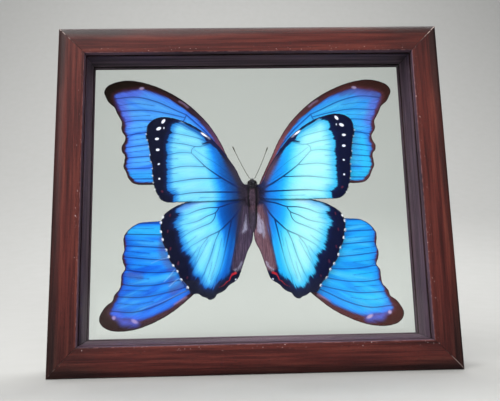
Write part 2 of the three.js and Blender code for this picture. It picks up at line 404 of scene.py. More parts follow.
def woodFinish():
    finish, colour, corner, inward, front, pores, lines, isInner = stainedWood()
    wearNoise = finish.noise(finish.place(0.5, 0.5, 0.5), 3.0)
    arris = (inward - 12.72).size().below(0.06, 0.3) * front.size().above(12.2, 12.5)
    # A pale line along the inner arris: partly wear, partly a painted highlight on its rounding.
    arrisWearAndHighlight = arris * wearNoise.above(0.42, 0.7)
    colour = finish.mix(arrisWearAndHighlight * 0.6, colour, (132, 92, 92))
    outerEdge = inward.below(0.05, 0.7) * front.size().above(8.6, 9.4) * front.size().below(10.2, 11)
    colour = finish.mix(outerEdge * wearNoise.above(0.5, 0.7) * 0.6, colour, (112, 82, 64))
    chips = finish.noise(finish.place(1.3, 1.3, 1.3)).above(0.71, 0.74) * inward.above(9.8, 11.4)
    colour = finish.mix(chips * front.size().above(12, 12.4) * 0.8, colour, (190, 170, 172))
    # A pale line along parts of some mitres.
    filler = finish.field("filler") * corner.below(0.16, 0.3) * wearNoise.above(0.42, 0.5)
    seam = corner.below(0.05, 0.2)
    colour = finish.mix(seam * 0.8, colour, (14, 9, 9))
    colour = finish.mix(filler * inward.below(3, 9), colour, (196, 176, 168))
    height = pores.below(0.36, 0.46) * -0.5 + lines * 0.35 - seam
    return finish.surface(
        Base_Color=colour,
        Roughness=0.42 + lines * 0.12 + arrisWearAndHighlight * 0.2 + isInner * 0.45,
        Coat_Weight=(0.1 - arrisWearAndHighlight * 0.08) * (1 - isInner),
        Normal=finish.bump(height, 0.00012, 0.6),
    )


def makeRails(s):
    halfWidth = frameWidth / 2
    halfHeight = frameHeight / 2
    rails = {
        "rail_bottom": (frameWidth, lambda a, y, i: (a, y, i), (0.1, 0.35)),
        "rail_top": (frameWidth, lambda a, y, i: (-a, y, frameHeight - i), (1.0, 0.6)),
        "rail_left": (frameHeight, lambda a, y, i: (i - halfWidth, y, halfHeight - a), (0.6, 0.1)),
        "rail_right": (frameHeight, lambda a, y, i: (halfWidth - i, y, halfHeight + a), (0.35, 1.0)),
    }
    wood = woodFinish()
    for seed, (node, (length, place, paleMitres)) in enumerate(rails.items()):
        piece = railPiece(node + "_moulding", length, place, paleMitres, seed * 1.7, s)
        settle(piece, wood, "stained_wood", node)


makeRails(railSettings)
print("rails done")


# glass

def clearGlass():
    finish = Finish("clearGlass", {
        "Base Color": (0.955, 0.985, 0.97, 1), "Transmission Weight": 1.0, "IOR": 1.45,
        "Specular IOR Level": 0.3, "Roughness": 0.0,
    })
    smears = finish.noise(finish.place(0.02, 0.02, 0.05), 3.0)
    return finish.surface(Roughness=smears.above(0.62, 0.8) * 0.03)


glassFinish = clearGlass()
for node in ("glass_front", "glass_back"):
    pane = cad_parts[node]
    pane.data.materials.clear()
    pane.data.materials.append(glassFinish)
    pane.visible_shadow = False
print("glass done")


# wings. Points are x and z of a left wing from the middle of the window. "blue" is the outline of
# the bright area, "dusk" of the brown furred one. Veins are a path and the width at its two ends.

foreWing = {
    "outline": [
        (-0.6, 0.4), (-0.9, 4.0), (-3.4, 5.2), (-7, 12.2), (-10.5, 17.6),
        (-14, 22.4), (-17.5, 26.4), (-20.5, 29.1),
        (-26, 33.1), (-32, 36.1), (-39.8, 38.1), (-44, 37.8), (-46.9, 36.4), (-48.9, 34), (-49.2, 31.4),
        (-49.5, 28.4), (-48.4, 25.6), (-48.1, 23.2), (-47.5, 20.6), (-47.6, 17.9), (-46.4, 14.8),
        (-46.5, 11.6), (-46.1, 8.4), (-45.6, 5.1), (-44.5, 1.8), (-42.8, -1.1), (-40, -2.9),
        (-34.2, -3.1), (-20, -3), (-8, -2.6), (-2, -1.6),
    ],
    "root": (-1, 2), "fanCentre": (8, 15),
    "drop": 0, "plane": 3.3, "lift": 1.5, "camber": 0.25, "pleat": 0.12,
    "veins": [
        ([(-4, 5), (-9, 14.2), (-15, 22.6), (-20.5, 28.2), (-26, 32.4), (-32, 35.5), (-39, 37.6)], 0.5, 0.3),
        ([(-20.1, 26.9), (-26, 31), (-30.5, 33.6), (-34.6, 35.6)], 0.46, 0.28),
        ([(-20.5, 25.8), (-26.1, 27.9), (-32, 29.3), (-37.9, 30.4)], 0.14, 0.12),
        ([(-19.5, 24.6), (-22.5, 23.7), (-26.1, 23.5), (-31.3, 24.7), (-39, 25.7)], 0.16, 0.14),
        ([(-26.1, 23.4), (-27.6, 22.3), (-27.9, 20.3)], 0.12, 0.12),
        ([(-27.9, 20.3), (-33.5, 20.6), (-39, 19.7)], 0.12, 0.16),
        ([(-2.2, 1.9), (-5.7, 3.4), (-13.9, 8.2), (-21.3, 13.6), (-23.1, 15.4), (-27.9, 20.3)], 0.42, 0.1),
        ([(-21.6, 13.6), (-31.6, 14), (-39.4, 12.5)], 0.12, 0.16),
        ([(-14.2, 8), (-26.1, 7.9), (-39, 6.2)], 0.18, 0.16),
        ([(-2.2, 1.1), (-5.7, 1.2), (-26.1, 1.4), (-35.7, 0.3)], 0.34, 0.14),
    ],
    "streaks": [
        [(-39.5, 17.3), (-34.5, 17.7)], [(-39.5, 10.3), (-34.5, 10.6)], [(-39, 3.2), (-34, 3.5)],
        [(-39.5, 22.9), (-35, 22.9)], [(-38.5, 27.8), (-34, 27)],
        [(-8, 8), (-16, 14.8), (-22, 18.6), (-26.5, 21.8)],
        [(-9, 6.6), (-15, 10.6)], [(-13, 19.4), (-18, 22.2)], [(-8, 4.2), (-14, 6.6)], [(-12, -1), (-24, -1)],
    ],
    "blue": [
        (-6, 7), (-10, 14), (-14.5, 20.2), (-18.2, 24.4), (-20.5, 26.2),
        (-23, 30.2), (-28, 33.4), (-33.2, 36.1),
        (-35.7, 35.1), (-37.7, 33.2), (-37.9, 30.6), (-39, 28.8), (-39.6, 26.2), (-39.8, 22.5),
        (-39.6, 18.8), (-39.8, 15.1), (-39.6, 11.4), (-39.6, 7.7), (-39.6, 4), (-38.7, 1.7), (-36.6, 0.3),
        (-36.1, -4), (-20, -6), (-4, -5), (-4, 2),
    ],
    "bright": [
        (-33.5, 37.5), (-28, 34.4), (-23, 31), (-20.4, 27.6), (-19.4, 23.6),
        (-18.6, 19), (-17.8, 13.5), (-17.2, 9),
        (-15.8, 5), (-15, 2), (-15.8, -5), (-36, -5), (-36.8, 0.6), (-38.9, 2.6), (-39.8, 7), (-39.8, 28),
        (-38.2, 33), (-36, 36),
    ],
    "blots": [([(-17.4, 25), (-20.2, 26.8)], 1.2, 0.9), ([(-19.5, 25.4), (-22.6, 24.6)], 0.6, 0.2),
              ([(-16, 24.2), (-11.5, 18.6)], 0.8, 0.5)],
    "silver": [([(-19.2, 28.2), (-20.8, 29.4), (-22.6, 30.6)], 0.85, 0.2)],
    "pale": [([(-22, 30.2), (-26, 32.8), (-30, 34.8), (-34, 36.3)], 0.5, 0.3)],
    "white": [
        (-41.3, 36, 1.3, 0.7, 55), (-43.5, 32.4, 1.25, 0.75, 25), (-41, 32.7, 0.3, 0.55, 0),
        (-44.3, 27.4, 1.0, 0.6, 5), (-43.9, 22.1, 0.9, 0.62, 0), (-43.4, 15.2, 0.6, 0.42, 25),
        (-43.1, 8.2, 0.5, 0.5, 0), (-21.9, 29.2, 1.9, 0.5, -35),
    ],
    "embers": [([(-41.9, 2.3), (-41.6, 2)], 0.4)],
    "eyes": [(-38, 20, 3.2), (-37.5, 27, 2.6), (-38, 8.5, 2.8)],
    "fringe": [(-49.4, 29.8), (-48.8, 27), (-48.2, 23.6), (-47.6, 19.6), (-47, 16.2), (-46.4, 13.2),
               (-46.2, 9.8), (-45.8, 6.4), (-45, 3.2), (-43.4, 0)],
}

hindWing = {
    "outline": [
        (-0.6, -1.0), (-12, -0.9), (-19.8, -1.5), (-28.7, -2.6), (-35.7, -5), (-40.4, -8.3),
        (-42.2, -11.8), (-42.6, -15.2), (-41.8, -18.4), (-41.3, -22), (-39.4, -25.6), (-38.3, -29.6),
        (-36.3, -32.4), (-34.4, -35.1), (-33.4, -37.8), (-30.7, -40.7), (-29.2, -43.6),
        (-28, -45.1), (-25.2, -45.1),
        (-23.2, -46.4), (-21.6, -46.9), (-20.4, -47.7), (-19, -47.7), (-17.6, -46.9),
        (-16.4, -45.3), (-14.4, -44.5),
        (-12.6, -43.3), (-11.2, -41.7), (-9.4, -40.5), (-7.9, -39.6),
        (-6.5, -37.9), (-4.8, -33.4), (-2.4, -26.6), (0.1, -21.4), (0.5, -17.5), (0, -9), (-0.5, -4.6),
    ],
    "root": (-1, -2), "fanCentre": (-2, 0),
    "drop": 0.75, "plane": 3.3, "lift": 1.5, "camber": 0.2, "pleat": 0.12,
    "veins": [
        ([(-2.5, -2.4), (-5.5, -3.2), (-10, -4), (-15, -5.6), (-20, -5.8), (-25, -6.8),
          (-30, -8.6), (-34.5, -9.2)], 0.3, 0.14),
        ([(-15.3, -6.1), (-16.7, -8), (-21, -9.8), (-25, -11.8), (-30, -13), (-35, -13.8)], 0.18, 0.14),
        ([(-16.7, -8), (-17.3, -10.5), (-19, -12.7), (-22.7, -14.3), (-28, -16.5), (-33.8, -20)], 0.16, 0.14),
        ([(-2.8, -2.8), (-4.8, -5.5), (-8, -10), (-12, -14), (-15, -16.6), (-20, -18.9), (-25, -21.5),
          (-28.4, -23.5), (-31.8, -26.5)], 0.36, 0.14),
        ([(-20, -19), (-23.5, -23.5), (-25.6, -28.5), (-28, -34)], 0.12, 0.16),
        ([(-15, -16.8), (-17, -21), (-19.5, -29), (-23.5, -38)], 0.16, 0.12),
        ([(-9.3, -11.5), (-10.6, -17), (-12.4, -25), (-14.5, -33), (-17, -39)], 0.26, 0.2),
        ([(-5, -6.5), (-6, -12), (-7.4, -20), (-9, -28), (-10.6, -34)], 0.22, 0.2),
    ],
    "streaks": [
        [(-20.5, -21), (-24, -28), (-27.6, -34)], [(-17.6, -23), (-20.5, -31), (-22.6, -36.5)],
        [(-18.7, -31), (-20, -36), (-21.5, -40)], [(-14, -20), (-16.5, -30), (-19.5, -39)],
        [(-29, -24.8), (-31.8, -26.8)], [(-26, -19), (-30.5, -22.4)], [(-30, -10.6), (-34, -11.6)],
        [(-30, -16), (-34, -17.6)], [(-25, -24), (-28.6, -29)], [(-12, -17), (-13.4, -24)],
    ],
    "blue": [
        (-4.3, -10), (-5.7, -17.7), (-7.2, -22.9), (-8.6, -28.5), (-9.4, -32.6), (-10.6, -35.5),
        (-12.8, -38.1), (-15.4, -39.6), (-17.2, -41.8), (-19.1, -43.3), (-21.3, -42.9), (-23.9, -41.4),
        (-24.8, -38.1), (-27.6, -37.2), (-28.1, -34), (-29.1, -31.1), (-29.1, -28.1), (-32, -26.3),
        (-33.1, -22.9), (-34.3, -19.2), (-34.3, -16.6), (-36.7, -13.7), (-36.1, -11.4), (-34.3, -9),
        (-35.7, -7.7), (-34, -5.2), (-29, -2.9), (-20, 2), (-3, 2), (-3.6, -5),
    ],
    "dusk": [
        (-3.6, -5), (-4.3, -10), (-5.7, -17.7), (-7.2, -22.9), (-8.6, -28.5), (-9.4, -32.6), (-9.6, -34.2),
        (-7.4, -35.2), (-5, -34.6), (-2, -30), (3, -21), (3, -5),
    ],
    "bright": [
        (-16.2, 4), (-16, -8), (-15, -12.6), (-13.6, -17), (-12.6, -22),
        (-12.6, -27), (-13.4, -32), (-15, -36.5),
        (-17.2, -40.8), (-19.4, -42.8), (-23.6, -41), (-25, -37.6),
        (-27.8, -36.4), (-28.6, -31), (-30.6, -27.6),
        (-33, -22.5), (-35, -17), (-36.6, -13.4), (-35.4, -9.6), (-37, -6), (-34, 0), (-28, 4),
    ],
    "lilac": [([(-22, -2), (-28, -3.2), (-33.6, -5.4)], 0.3, 0.8)],
    "silver": [([(-2.7, -9), (-2.9, -12.4), (-3.1, -16)], -0.4, 0.55),
               ([(-3.2, -16.2), (-4.2, -17.2)], 0.3, 0.1),
               ([(-5, -31.2), (-6.4, -33.4), (-8.4, -34.6)], 0.05)],
    "red": [
        ([(-8.0, -36.0), (-9.2, -36.6)], 0.6, 0.4),
        ([(-9.4, -36.2), (-10.4, -38.2), (-10.9, -39.4)], 0.26, 0.16),
        ([(-10.9, -39.4), (-12.2, -40), (-13.4, -41.4), (-15.8, -42.4)], 0.16, 0.04),
    ],
    "embers": [([(-38, -8.6), (-38.2, -9.4)], 0.22), ([(-39.1, -16), (-39.2, -16.9)], 0.24),
               ([(-37.8, -24), (-38, -24.9)], 0.24), ([(-34.2, -30.6), (-34.4, -31.6)], 0.28),
               ([(-30.1, -37.4), (-30.3, -38)], 0.22)],
    "white": [(-7.9, -39, 0.45, 0.45, 0)],
    "eyes": [(-31, -14, 3.4), (-29, -24, 3.8), (-22, -35, 3.4), (-14, -36, 2.4)],
    "fringe": [(-41.2, -10), (-42.2, -12.4), (-42.4, -16.6), (-41.4, -20.2), (-40, -25), (-38.6, -28),
               (-36.7, -32.2), (-34.8, -34.8), (-33, -38.6), (-29.9, -42)],
}


tuftedHindWing = {
    **hindWing,
    "silver": [([(-1.4, -8.8), (-1.9, -12.5), (-2.5, -16.6)], 0.1, 1.3),
               ([(-3.2, -12), (-4, -16), (-4, -19.6)], 0.3, 0.2),
               ([(-5, -31.2), (-6.4, -33.4), (-8.4, -34.6)], 0.05)],
}


def flipped(points):  # the lower loose wings are the upper kind turned upside down
    return [(x, -3.6 - z, *rest) for x, z, *rest in points]


looseWing = {
    "outline": [
        (-3.2, 1.2), (-4.6, 5.4), (-8.4, 13.8), (-11.2, 19.8), (-14, 26),
        (-20, 35.5), (-30, 45.6), (-40, 52.1),
        (-50, 56.2), (-59, 57.8), (-65, 56.9), (-69.2, 54.8), (-70.6, 51.9), (-69.6, 49), (-68.3, 46.6),
        (-65.5, 44.1), (-64.2, 41.3), (-62.6, 38.4), (-61.7, 36.4), (-62, 33.6), (-61.4, 31.7),
        (-60, 29.4), (-60.3, 27.3), (-61.7, 24.4), (-61.5, 22.2), (-60.1, 20.2), (-60.3, 17.2),
        (-60.6, 14.6), (-59.5, 12.3), (-58.1, 9), (-56, 6.8), (-53.4, 6), (-46, 5.8), (-30, 5), (-12, 2.6),
    ],
    "root": (-1, 2), "fanCentre": (0, 22), "drop": 0, "plane": 6.7, "lift": 0, "camber": 0.3, "pleat": 0.34,
    "veins": [
        ([(-3, 4.6), (-8, 15.4), (-14, 26), (-21, 35.6), (-31, 45.4), (-41, 51.6),
          (-50, 55.4), (-58, 57)], 0.5, 0.3),
        ([(-4, 4.5), (-12, 19), (-21, 31), (-30.5, 40)], 0.4, 0.25),
        ([(-30.5, 40), (-35, 42), (-45, 46.7), (-55, 49.2), (-65, 48.5)], 0.2, 0.2),
        ([(-31, 38.5), (-40, 40.8), (-50, 42.5), (-63, 42.2)], 0.16, 0.2),
        ([(-33, 35), (-45, 37.2), (-55, 37.4), (-61.5, 36.4)], 0.15, 0.2),
        ([(-34, 31), (-46, 31.6), (-60.5, 30)], 0.15, 0.2),
        ([(-33, 26), (-46, 25.6), (-61, 24)], 0.15, 0.2),
        ([(-30, 21.5), (-45, 20), (-60.2, 19)], 0.15, 0.2),
        ([(-24, 16.5), (-40, 14.5), (-60, 13.6)], 0.18, 0.2),
        ([(-14, 8), (-35, 8.6), (-57, 8.8)], 0.2, 0.2),
        ([(-30.5, 40), (-31, 38.5), (-33, 35), (-34, 31), (-33, 26), (-30, 21.5)], 0.16, 0.16),
        ([(-4, 2.5), (-14, 8), (-24, 16.5), (-30, 21.5)], 0.36, 0.2),
    ],
    "streaks": [
        [(-46, 44.6), (-55, 45.8), (-63, 45)], [(-48, 39.8), (-61.4, 39.2)], [(-48, 34.4), (-60.4, 33)],
        [(-48, 28.6), (-59, 27.4)], [(-48, 22.8), (-60, 21.4)],
        [(-46, 17.2), (-59.4, 16.4)], [(-46, 11.4), (-58.6, 11)],
        [(-60, 28), (-55, 31), (-50, 31.7)],
    ],
    "blue": [
        (-4, 3), (-9.2, 14.6), (-13, 21.8), (-17, 28.4), (-19.7, 32.1),
        (-24, 37.2), (-28.2, 41), (-33.2, 44.9),
        (-39.2, 48.8), (-46, 51.8), (-52, 53.4), (-57, 52.8), (-62, 52), (-65.3, 50.8), (-66.2, 49.3),
        (-64.8, 46.5), (-63.2, 43), (-62.4, 40.5), (-61, 37.5), (-60.4, 35), (-60.6, 32.5), (-59.8, 30),
        (-59.1, 28), (-60.2, 24.5), (-60.4, 22.5), (-59.5, 20.3), (-59.6, 17), (-59.9, 14.5), (-58.8, 12),
        (-57.4, 9.3), (-55.6, 7.4), (-53.2, 6.5), (-46, 6.3), (-30, 5.5), (-12, 3),
    ],
    "silver": [([(-29.8, 43.8), (-31.6, 45.4), (-34, 46.8)], 0.2, 0.1)],
    "cells": [([(-57, 10.4), (-50, 9.8), (-40, 9.8)], 1.4, 2.6)],
    "lilac": [([(-62, 44.5), (-62.6, 49), (-54, 51.2)], 1.6, 0.8), ([(-59, 37), (-60.6, 42)], 0.9)],
    "white": [(-52.3, 53.5, 0.8, 0.5, 10)],
    "eyes": [(-50, 40, 4.2), (-49, 28, 3.6), (-50, 16, 3.6)],
}

smokyWing = {
    **looseWing, "tarnish": [([(-64.5, 49), (-60.5, 51.6), (-54, 52.4), (-46, 50.4)], 0.7, 0.3)],
    "cells": looseWing["cells"] + [([(-57.5, 12), (-56, 20), (-55, 28)], 2.6, 1.2)],
}

looseLowerWing = {
    **looseWing,
    "outline": [
        (-2, -3.4), (-2.2, -6), (-6, -14), (-12, -26), (-20, -38), (-27.9, -45.9), (-37.5, -53.4),
        (-45.8, -57.8), (-53.3, -60.4), (-60.5, -61.3), (-66, -60.6), (-69.5, -58.4), (-70.6, -55.4),
        (-69.2, -52.1), (-67.5, -49.8), (-64.7, -47.6), (-63.9, -45.2), (-61.4, -42.1), (-60.9, -39),
        (-60.7, -35.8), (-59.1, -33.2), (-60.1, -30.4), (-60.5, -27.4), (-59.6, -24.6), (-60, -21.2),
        (-59.9, -18.6), (-58.4, -16), (-56, -13.8), (-52.4, -12.1), (-46, -11.6), (-32, -10.6), (-14, -6.4),
    ],
    "root": (-1, -5.6), "fanCentre": (0, -25.6),
    "veins": [(flipped(path), start, end) for path, start, end in looseWing["veins"]],
    "streaks": [flipped(path) for path in looseWing["streaks"]],
    "blue": flipped(looseWing["blue"]),
    "silver": [([(-31, -46.6), (-33, -47.8), (-36.4, -49.8)], 0.3, 0.0)],
    "cells": [],
    "lilac": [([(-63, -53.6), (-59.4, -57), (-54, -57.6)], 0.9, 1.3)],
    "white": [(-54.4, -56.9, 1.1, 0.55, -28), (-63.8, -55.1, 0.6, 0.6, 0)],
    "eyes": flipped(looseWing["eyes"]),
}

creasedWing = {
    **looseLowerWing,
    "cells": [([(-57, -16), (-52, -16.4), (-42, -16.4)], 1.5, 2.2)],
    "tarnish": [([(-41.4, -20), (-41.6, -26), (-38, -33)], 0.8), ([(-37, -37.4), (-37.6, -40)], 0.5),
                ([(-32, -40), (-37, -43.6)], 0.6), ([(-57, -36), (-52, -37)], 0.2)],
    # The pale strokes on this wing are painted highlights along its creases.
    "pale": [([(-36, -33.8), (-38, -36.4), (-41, -39.4)], 0.08),
             ([(-34.2, -38), (-36.4, -39.6), (-38.6, -41.6)], 0.08),
             ([(-38.6, -28.4), (-43.6, -29.6), (-47, -31)], 0.0),
             ([(-30.2, -43.4), (-40, -47.6), (-52, -51.6)], 0.0)],
}

wingMesh = {"rimStep": 0.3, "gridStep": 0.36, "thickness": 0.12, "rimGap": 0.2, "raggedness": 0.05}


def wingSheet(shape, random, s):
    rim = smoothLine(shape["outline"], s["rimStep"], closed=True)
    rim = rim + random.normal(0, s["raggedness"], rim.shape)
    low, high = rim.min(axis=0), rim.max(axis=0)
    rows = np.arange(low[1], high[1], s["gridStep"] * 0.866)
    columns = np.arange(low[0], high[0], s["gridStep"])
    grid = np.array([(x + (j % 2) * s["gridStep"] / 2, z) for j, z in enumerate(rows) for x in columns])
    grid = grid[depthInside(grid, rim) > s["rimGap"]]
    corners = [Vector(point) for point in np.vstack([rim, grid])]
    flat, _, faces, *_ = delaunay_2d_cdt(corners, [], [list(range(len(rim)))], 1, 1e-6)
    return np.array([tuple(point) for point in flat]), [tuple(face) for face in faces], rim


def nearestOf(points, strokes):  # distance to the nearest of several strokes, less their half widths
    nearest = np.full(len(points), 99.0)
    for path, start, *end in strokes:
        gap, along = distanceTo(points, smoothLine(path, 0.6))
        width = start + ((end[0] if end else start) - start) * along
        nearest = np.minimum(nearest, gap - width)
    return nearest


def nearestSpot(points, spots):
    nearest = np.full(len(points), 99.0)
    for x, z, long, short, angle in spots:
        turn = math.radians(angle)
        offset = points - (x, z)
        u = offset[:, 0] * math.cos(turn) + offset[:, 1] * math.sin(turn)
        v = offset[:, 1] * math.cos(turn) - offset[:, 0] * math.sin(turn)
        nearest = np.minimum(nearest, (np.hypot(u / long, v / short) - 1) * min(long, short))
    return nearest


strokeFields = {
    "vein": "veins", "cell": "cells", "lilac": "lilac", "tarnish": "tarnish", "blot": "blots",
    "silver": "silver", "pale": "pale", "red": "red", "ember": "embers",
}


def wingFields(points, rim, shape):
    root = points - shape["root"]
    spoke = points - shape["fanCentre"]
    angle = np.arctan2(spoke[:, 1], -spoke[:, 0])
    eyes = [np.linalg.norm(points - (x, z), axis=1) / radius for x, z, radius in shape["eyes"]]
    fringe = [np.linalg.norm(points - place, axis=1) for place in shape.get("fringe", [(99, 99)])]
    dusk = np.array(shape.get("dusk", [(90, 90), (91, 90), (91, 91)]), float)
    strokes = {field: nearestOf(points, shape.get(key, [])) for field, key in strokeFields.items()}
    return {
        **strokes,
        "root": np.linalg.norm(root, axis=1),
        "margin": np.abs(depthInside(points, rim)),
        "streak": nearestOf(points, [(path, 0.05) for path in shape["streaks"]]),
        "blue": depthInside(points, smoothLine(shape["blue"], 0.8, closed=True)),
        "glow": depthInside(points, smoothLine(shape.get("bright", shape["blue"]), 0.8, closed=True)),
        "dusk": depthInside(points, dusk),
        "white": nearestSpot(points, shape.get("white", [])),
        "ring": np.min(eyes, axis=0),
        "fringe": np.min(fringe, axis=0),
        "fan": np.column_stack([angle * 40, np.linalg.norm(spoke, axis=1), np.zeros(len(points))]),
    }


def placed(points, place):  # mirrored for a right wing, then turned about the middle
    x, z = points.T
    if place["side"] > 0:
        x = 2 * place["midline"] - x
    turn = math.radians(place["turn"])
    u = x - place["midline"]
    return (
        place["midline"] + u * math.cos(turn) + z * math.sin(turn),
        z * math.cos(turn) - u * math.sin(turn),
    )


def wingDepth(x, fields, shape):
    lift = shape["lift"] * np.exp(-np.abs(x - bodyAxis) / 11)
    inside = np.clip(fields["margin"] / 14, 0, 1)
    bulge = 1 - np.exp(-(np.clip(fields["vein"], 0, 9) / 1.4) ** 2)
    ripple = np.clip(fields["margin"] / 2.5, 0, 1) * shape["pleat"] * bulge
    return shape["plane"] + shape["drop"] - lift - shape["camber"] * inside * (2 - inside) - ripple


def makeWing(name, shape, place, material, slot, seed, s):
    random = np.random.default_rng(seed)
    flat, faces, rim = wingSheet(shape, random, s)
    fields = wingFields(flat, rim, shape)
    x, z = placed(flat, place)
    y = wingDepth(x, fields, shape)
    half = s["thickness"] / 2 * np.clip(0.35 + fields["margin"] / 2, 0, 1)
    count = len(flat)
    if place["side"] > 0:
        faces = [face[::-1] for face in faces]
    edges = {(face[i - 1], face[i]) for face in faces for i in range(3)}
    rimEdges = [(a, b) for a, b in edges if (b, a) not in edges]
    whole = list(faces) + [tuple(count + i for i in face[::-1]) for face in faces]
    whole += [(a, a + count, b + count, b) for a, b in rimEdges]
    front = np.column_stack([x, y - half, z + sightHeight])
    back = np.column_stack([x, y + half, z + sightHeight])
    doubled = {key: np.concatenate([values, values]) for key, values in fields.items()}
    doubled["under"] = np.concatenate([np.zeros(count), np.ones(count)])
    piece = makePiece(name + "_detail", np.vstack([front, back]), whole, doubled, 60)
    settle(piece, material, slot, name)
    return {"points": front, "faces": faces, "fields": fields, "rim": len(rim), "side": place["side"]}


def depthRamp(finish, depth, stops):  # stops at millimetres inside an outline, from -20 to 20
    return finish.ramp((depth + 20) / 40, [((at + 20) / 40, shade) for at, shade in stops])


def blueScales(finish, fields, tint):
    fan = finish.vectorField("fan")
    ray = finish.noise(finish.stretched(fan, 0.9, 0.05, 0), 3.0, 0.6)
    fineRay = finish.noise(finish.stretched(fan, 3.2, 0.16, 0), 2.0, 0.6)
    speck = finish.noise(finish.place(5.0, 5.0, 5.0))
    root, vein, blue = fields["root"], fields["vein"], fields["blue"]
    depth = fields["glow"] + (ray - 0.5) * tint["feather"] + (fineRay - 0.5) * tint["feather"] * 0.5
    colour = depthRamp(finish, depth, tint["scales"])
    if "outer" in tint:
        colour = finish.mix(root.above(50, 76), colour, depthRamp(finish, depth, tint["outer"]))
    # Streaks of painted shade and painted highlight stand for the light on the pleats.
    pleatShading = finish.noise(finish.stretched(fan, 0.36, 0.035, 0), 2.5, 0.55)
    pleatShadingMask = fields["glow"].above(1, 5) * tint["pleatShading"]
    colour = finish.mix(pleatShading.above(0.5, 0.66) * pleatShadingMask, colour, tint["deep"])
    colour = finish.mix(pleatShading.below(0.34, 0.5) * pleatShadingMask, colour, tint["light"])
    isOut = root.above(14, 24)
    # Painted shade beside the veins and streak lines, where the membrane dips between them; the dashes take
    # the same tone.
    veinShading = (vein.below(0, 1.9) + finish.field("streak").below(0, 1.2) * 0.7) * isOut
    colour = finish.mix(veinShading * tint["veinShading"], colour, tint["veinShadeAndDashTone"])
    dashes = fineRay.below(0.36, 0.47) * (blue + (ray - 0.5) * 4).below(1, 6) * isOut
    colour = finish.mix(dashes * tint["dashes"], colour, tint["veinShadeAndDashTone"])
    colour = finish.mix((fields["cell"] + (ray - 0.5) * 2).below(-1.2, 2.0) * 0.7, colour, tint["cell"])
    colour = finish.mix((fields["lilac"] + (ray - 0.5) * 2).below(-0.5, 3) * 0.5, colour, tint["lilac"])
    tarnish = (fields["tarnish"] + (fineRay - 0.5) * 3).below(-0.5, 2.6)
    colour = finish.mix(tarnish * 0.6, colour, (76, 80, 138))
    # The brightness varies partly with the painted pleat shading, partly with the scales' own noise.
    colour = finish.scaled(colour, 0.95 + (pleatShading - 0.5) * 0.16 + (fineRay - 0.5) * 0.32 + (speck - 0.5) * 0.34)
    streaks = finish.field("streak").below(-0.02, 0.2) * tint["streaks"]
    colour = finish.mix(streaks, colour, tint["veins"])
    thick = root.below(12, 34) * (0.95 - tint["veinFade"]) + tint["veinFade"]
    colour = finish.mix(vein.below(-0.02, 0.16) * thick, colour, tint["veins"])
    edge = (blue + (fineRay - 0.5) * 1.5 + (ray - 0.5) * 2).below(0, tint["edgeWidth"])
    colour = finish.mix(edge * root.above(18, 28) * tint["edgeStrength"], colour, tint["edge"])
    return colour, ray, fineRay, speck


def undersideScales(finish, fields, speck, ray):
    ring = fields["ring"]
    mottle = finish.noise(finish.place(0.35, 0.35, 0.35), 4.0, 0.6)
    bands = (fields["root"] * 0.42 + mottle * 5).wave() * 0.5 + 0.5
    ground = finish.ramp(mottle * 0.5 + bands * 0.4 + (ray - 0.5) * 0.3, [
        (0.15, (62, 45, 38)), (0.45, (98, 76, 60)), (0.7, (128, 104, 82)), (0.9, (158, 138, 112)),
    ])
    ground = finish.mix(fields["vein"].below(-0.05, 0.2) * 0.6, ground, (70, 50, 38))
    ground = finish.mix(fields["margin"].below(0.8, 2.2) * 0.7, ground, (84, 62, 50))
    spot = finish.ramp(ring, [
        (0.0, (232, 232, 240)), (0.09, (232, 232, 240)), (0.13, (20, 18, 26)), (0.5, (28, 22, 26)),
        (0.56, (122, 60, 30)), (0.66, (206, 168, 92)), (0.78, (196, 158, 88)), (0.86, (52, 38, 32)),
    ])
    ground = finish.mix(ring.below(0.9, 1.0), ground, spot)
    return finish.scaled(ground, 0.9 + (speck - 0.5) * 0.3)


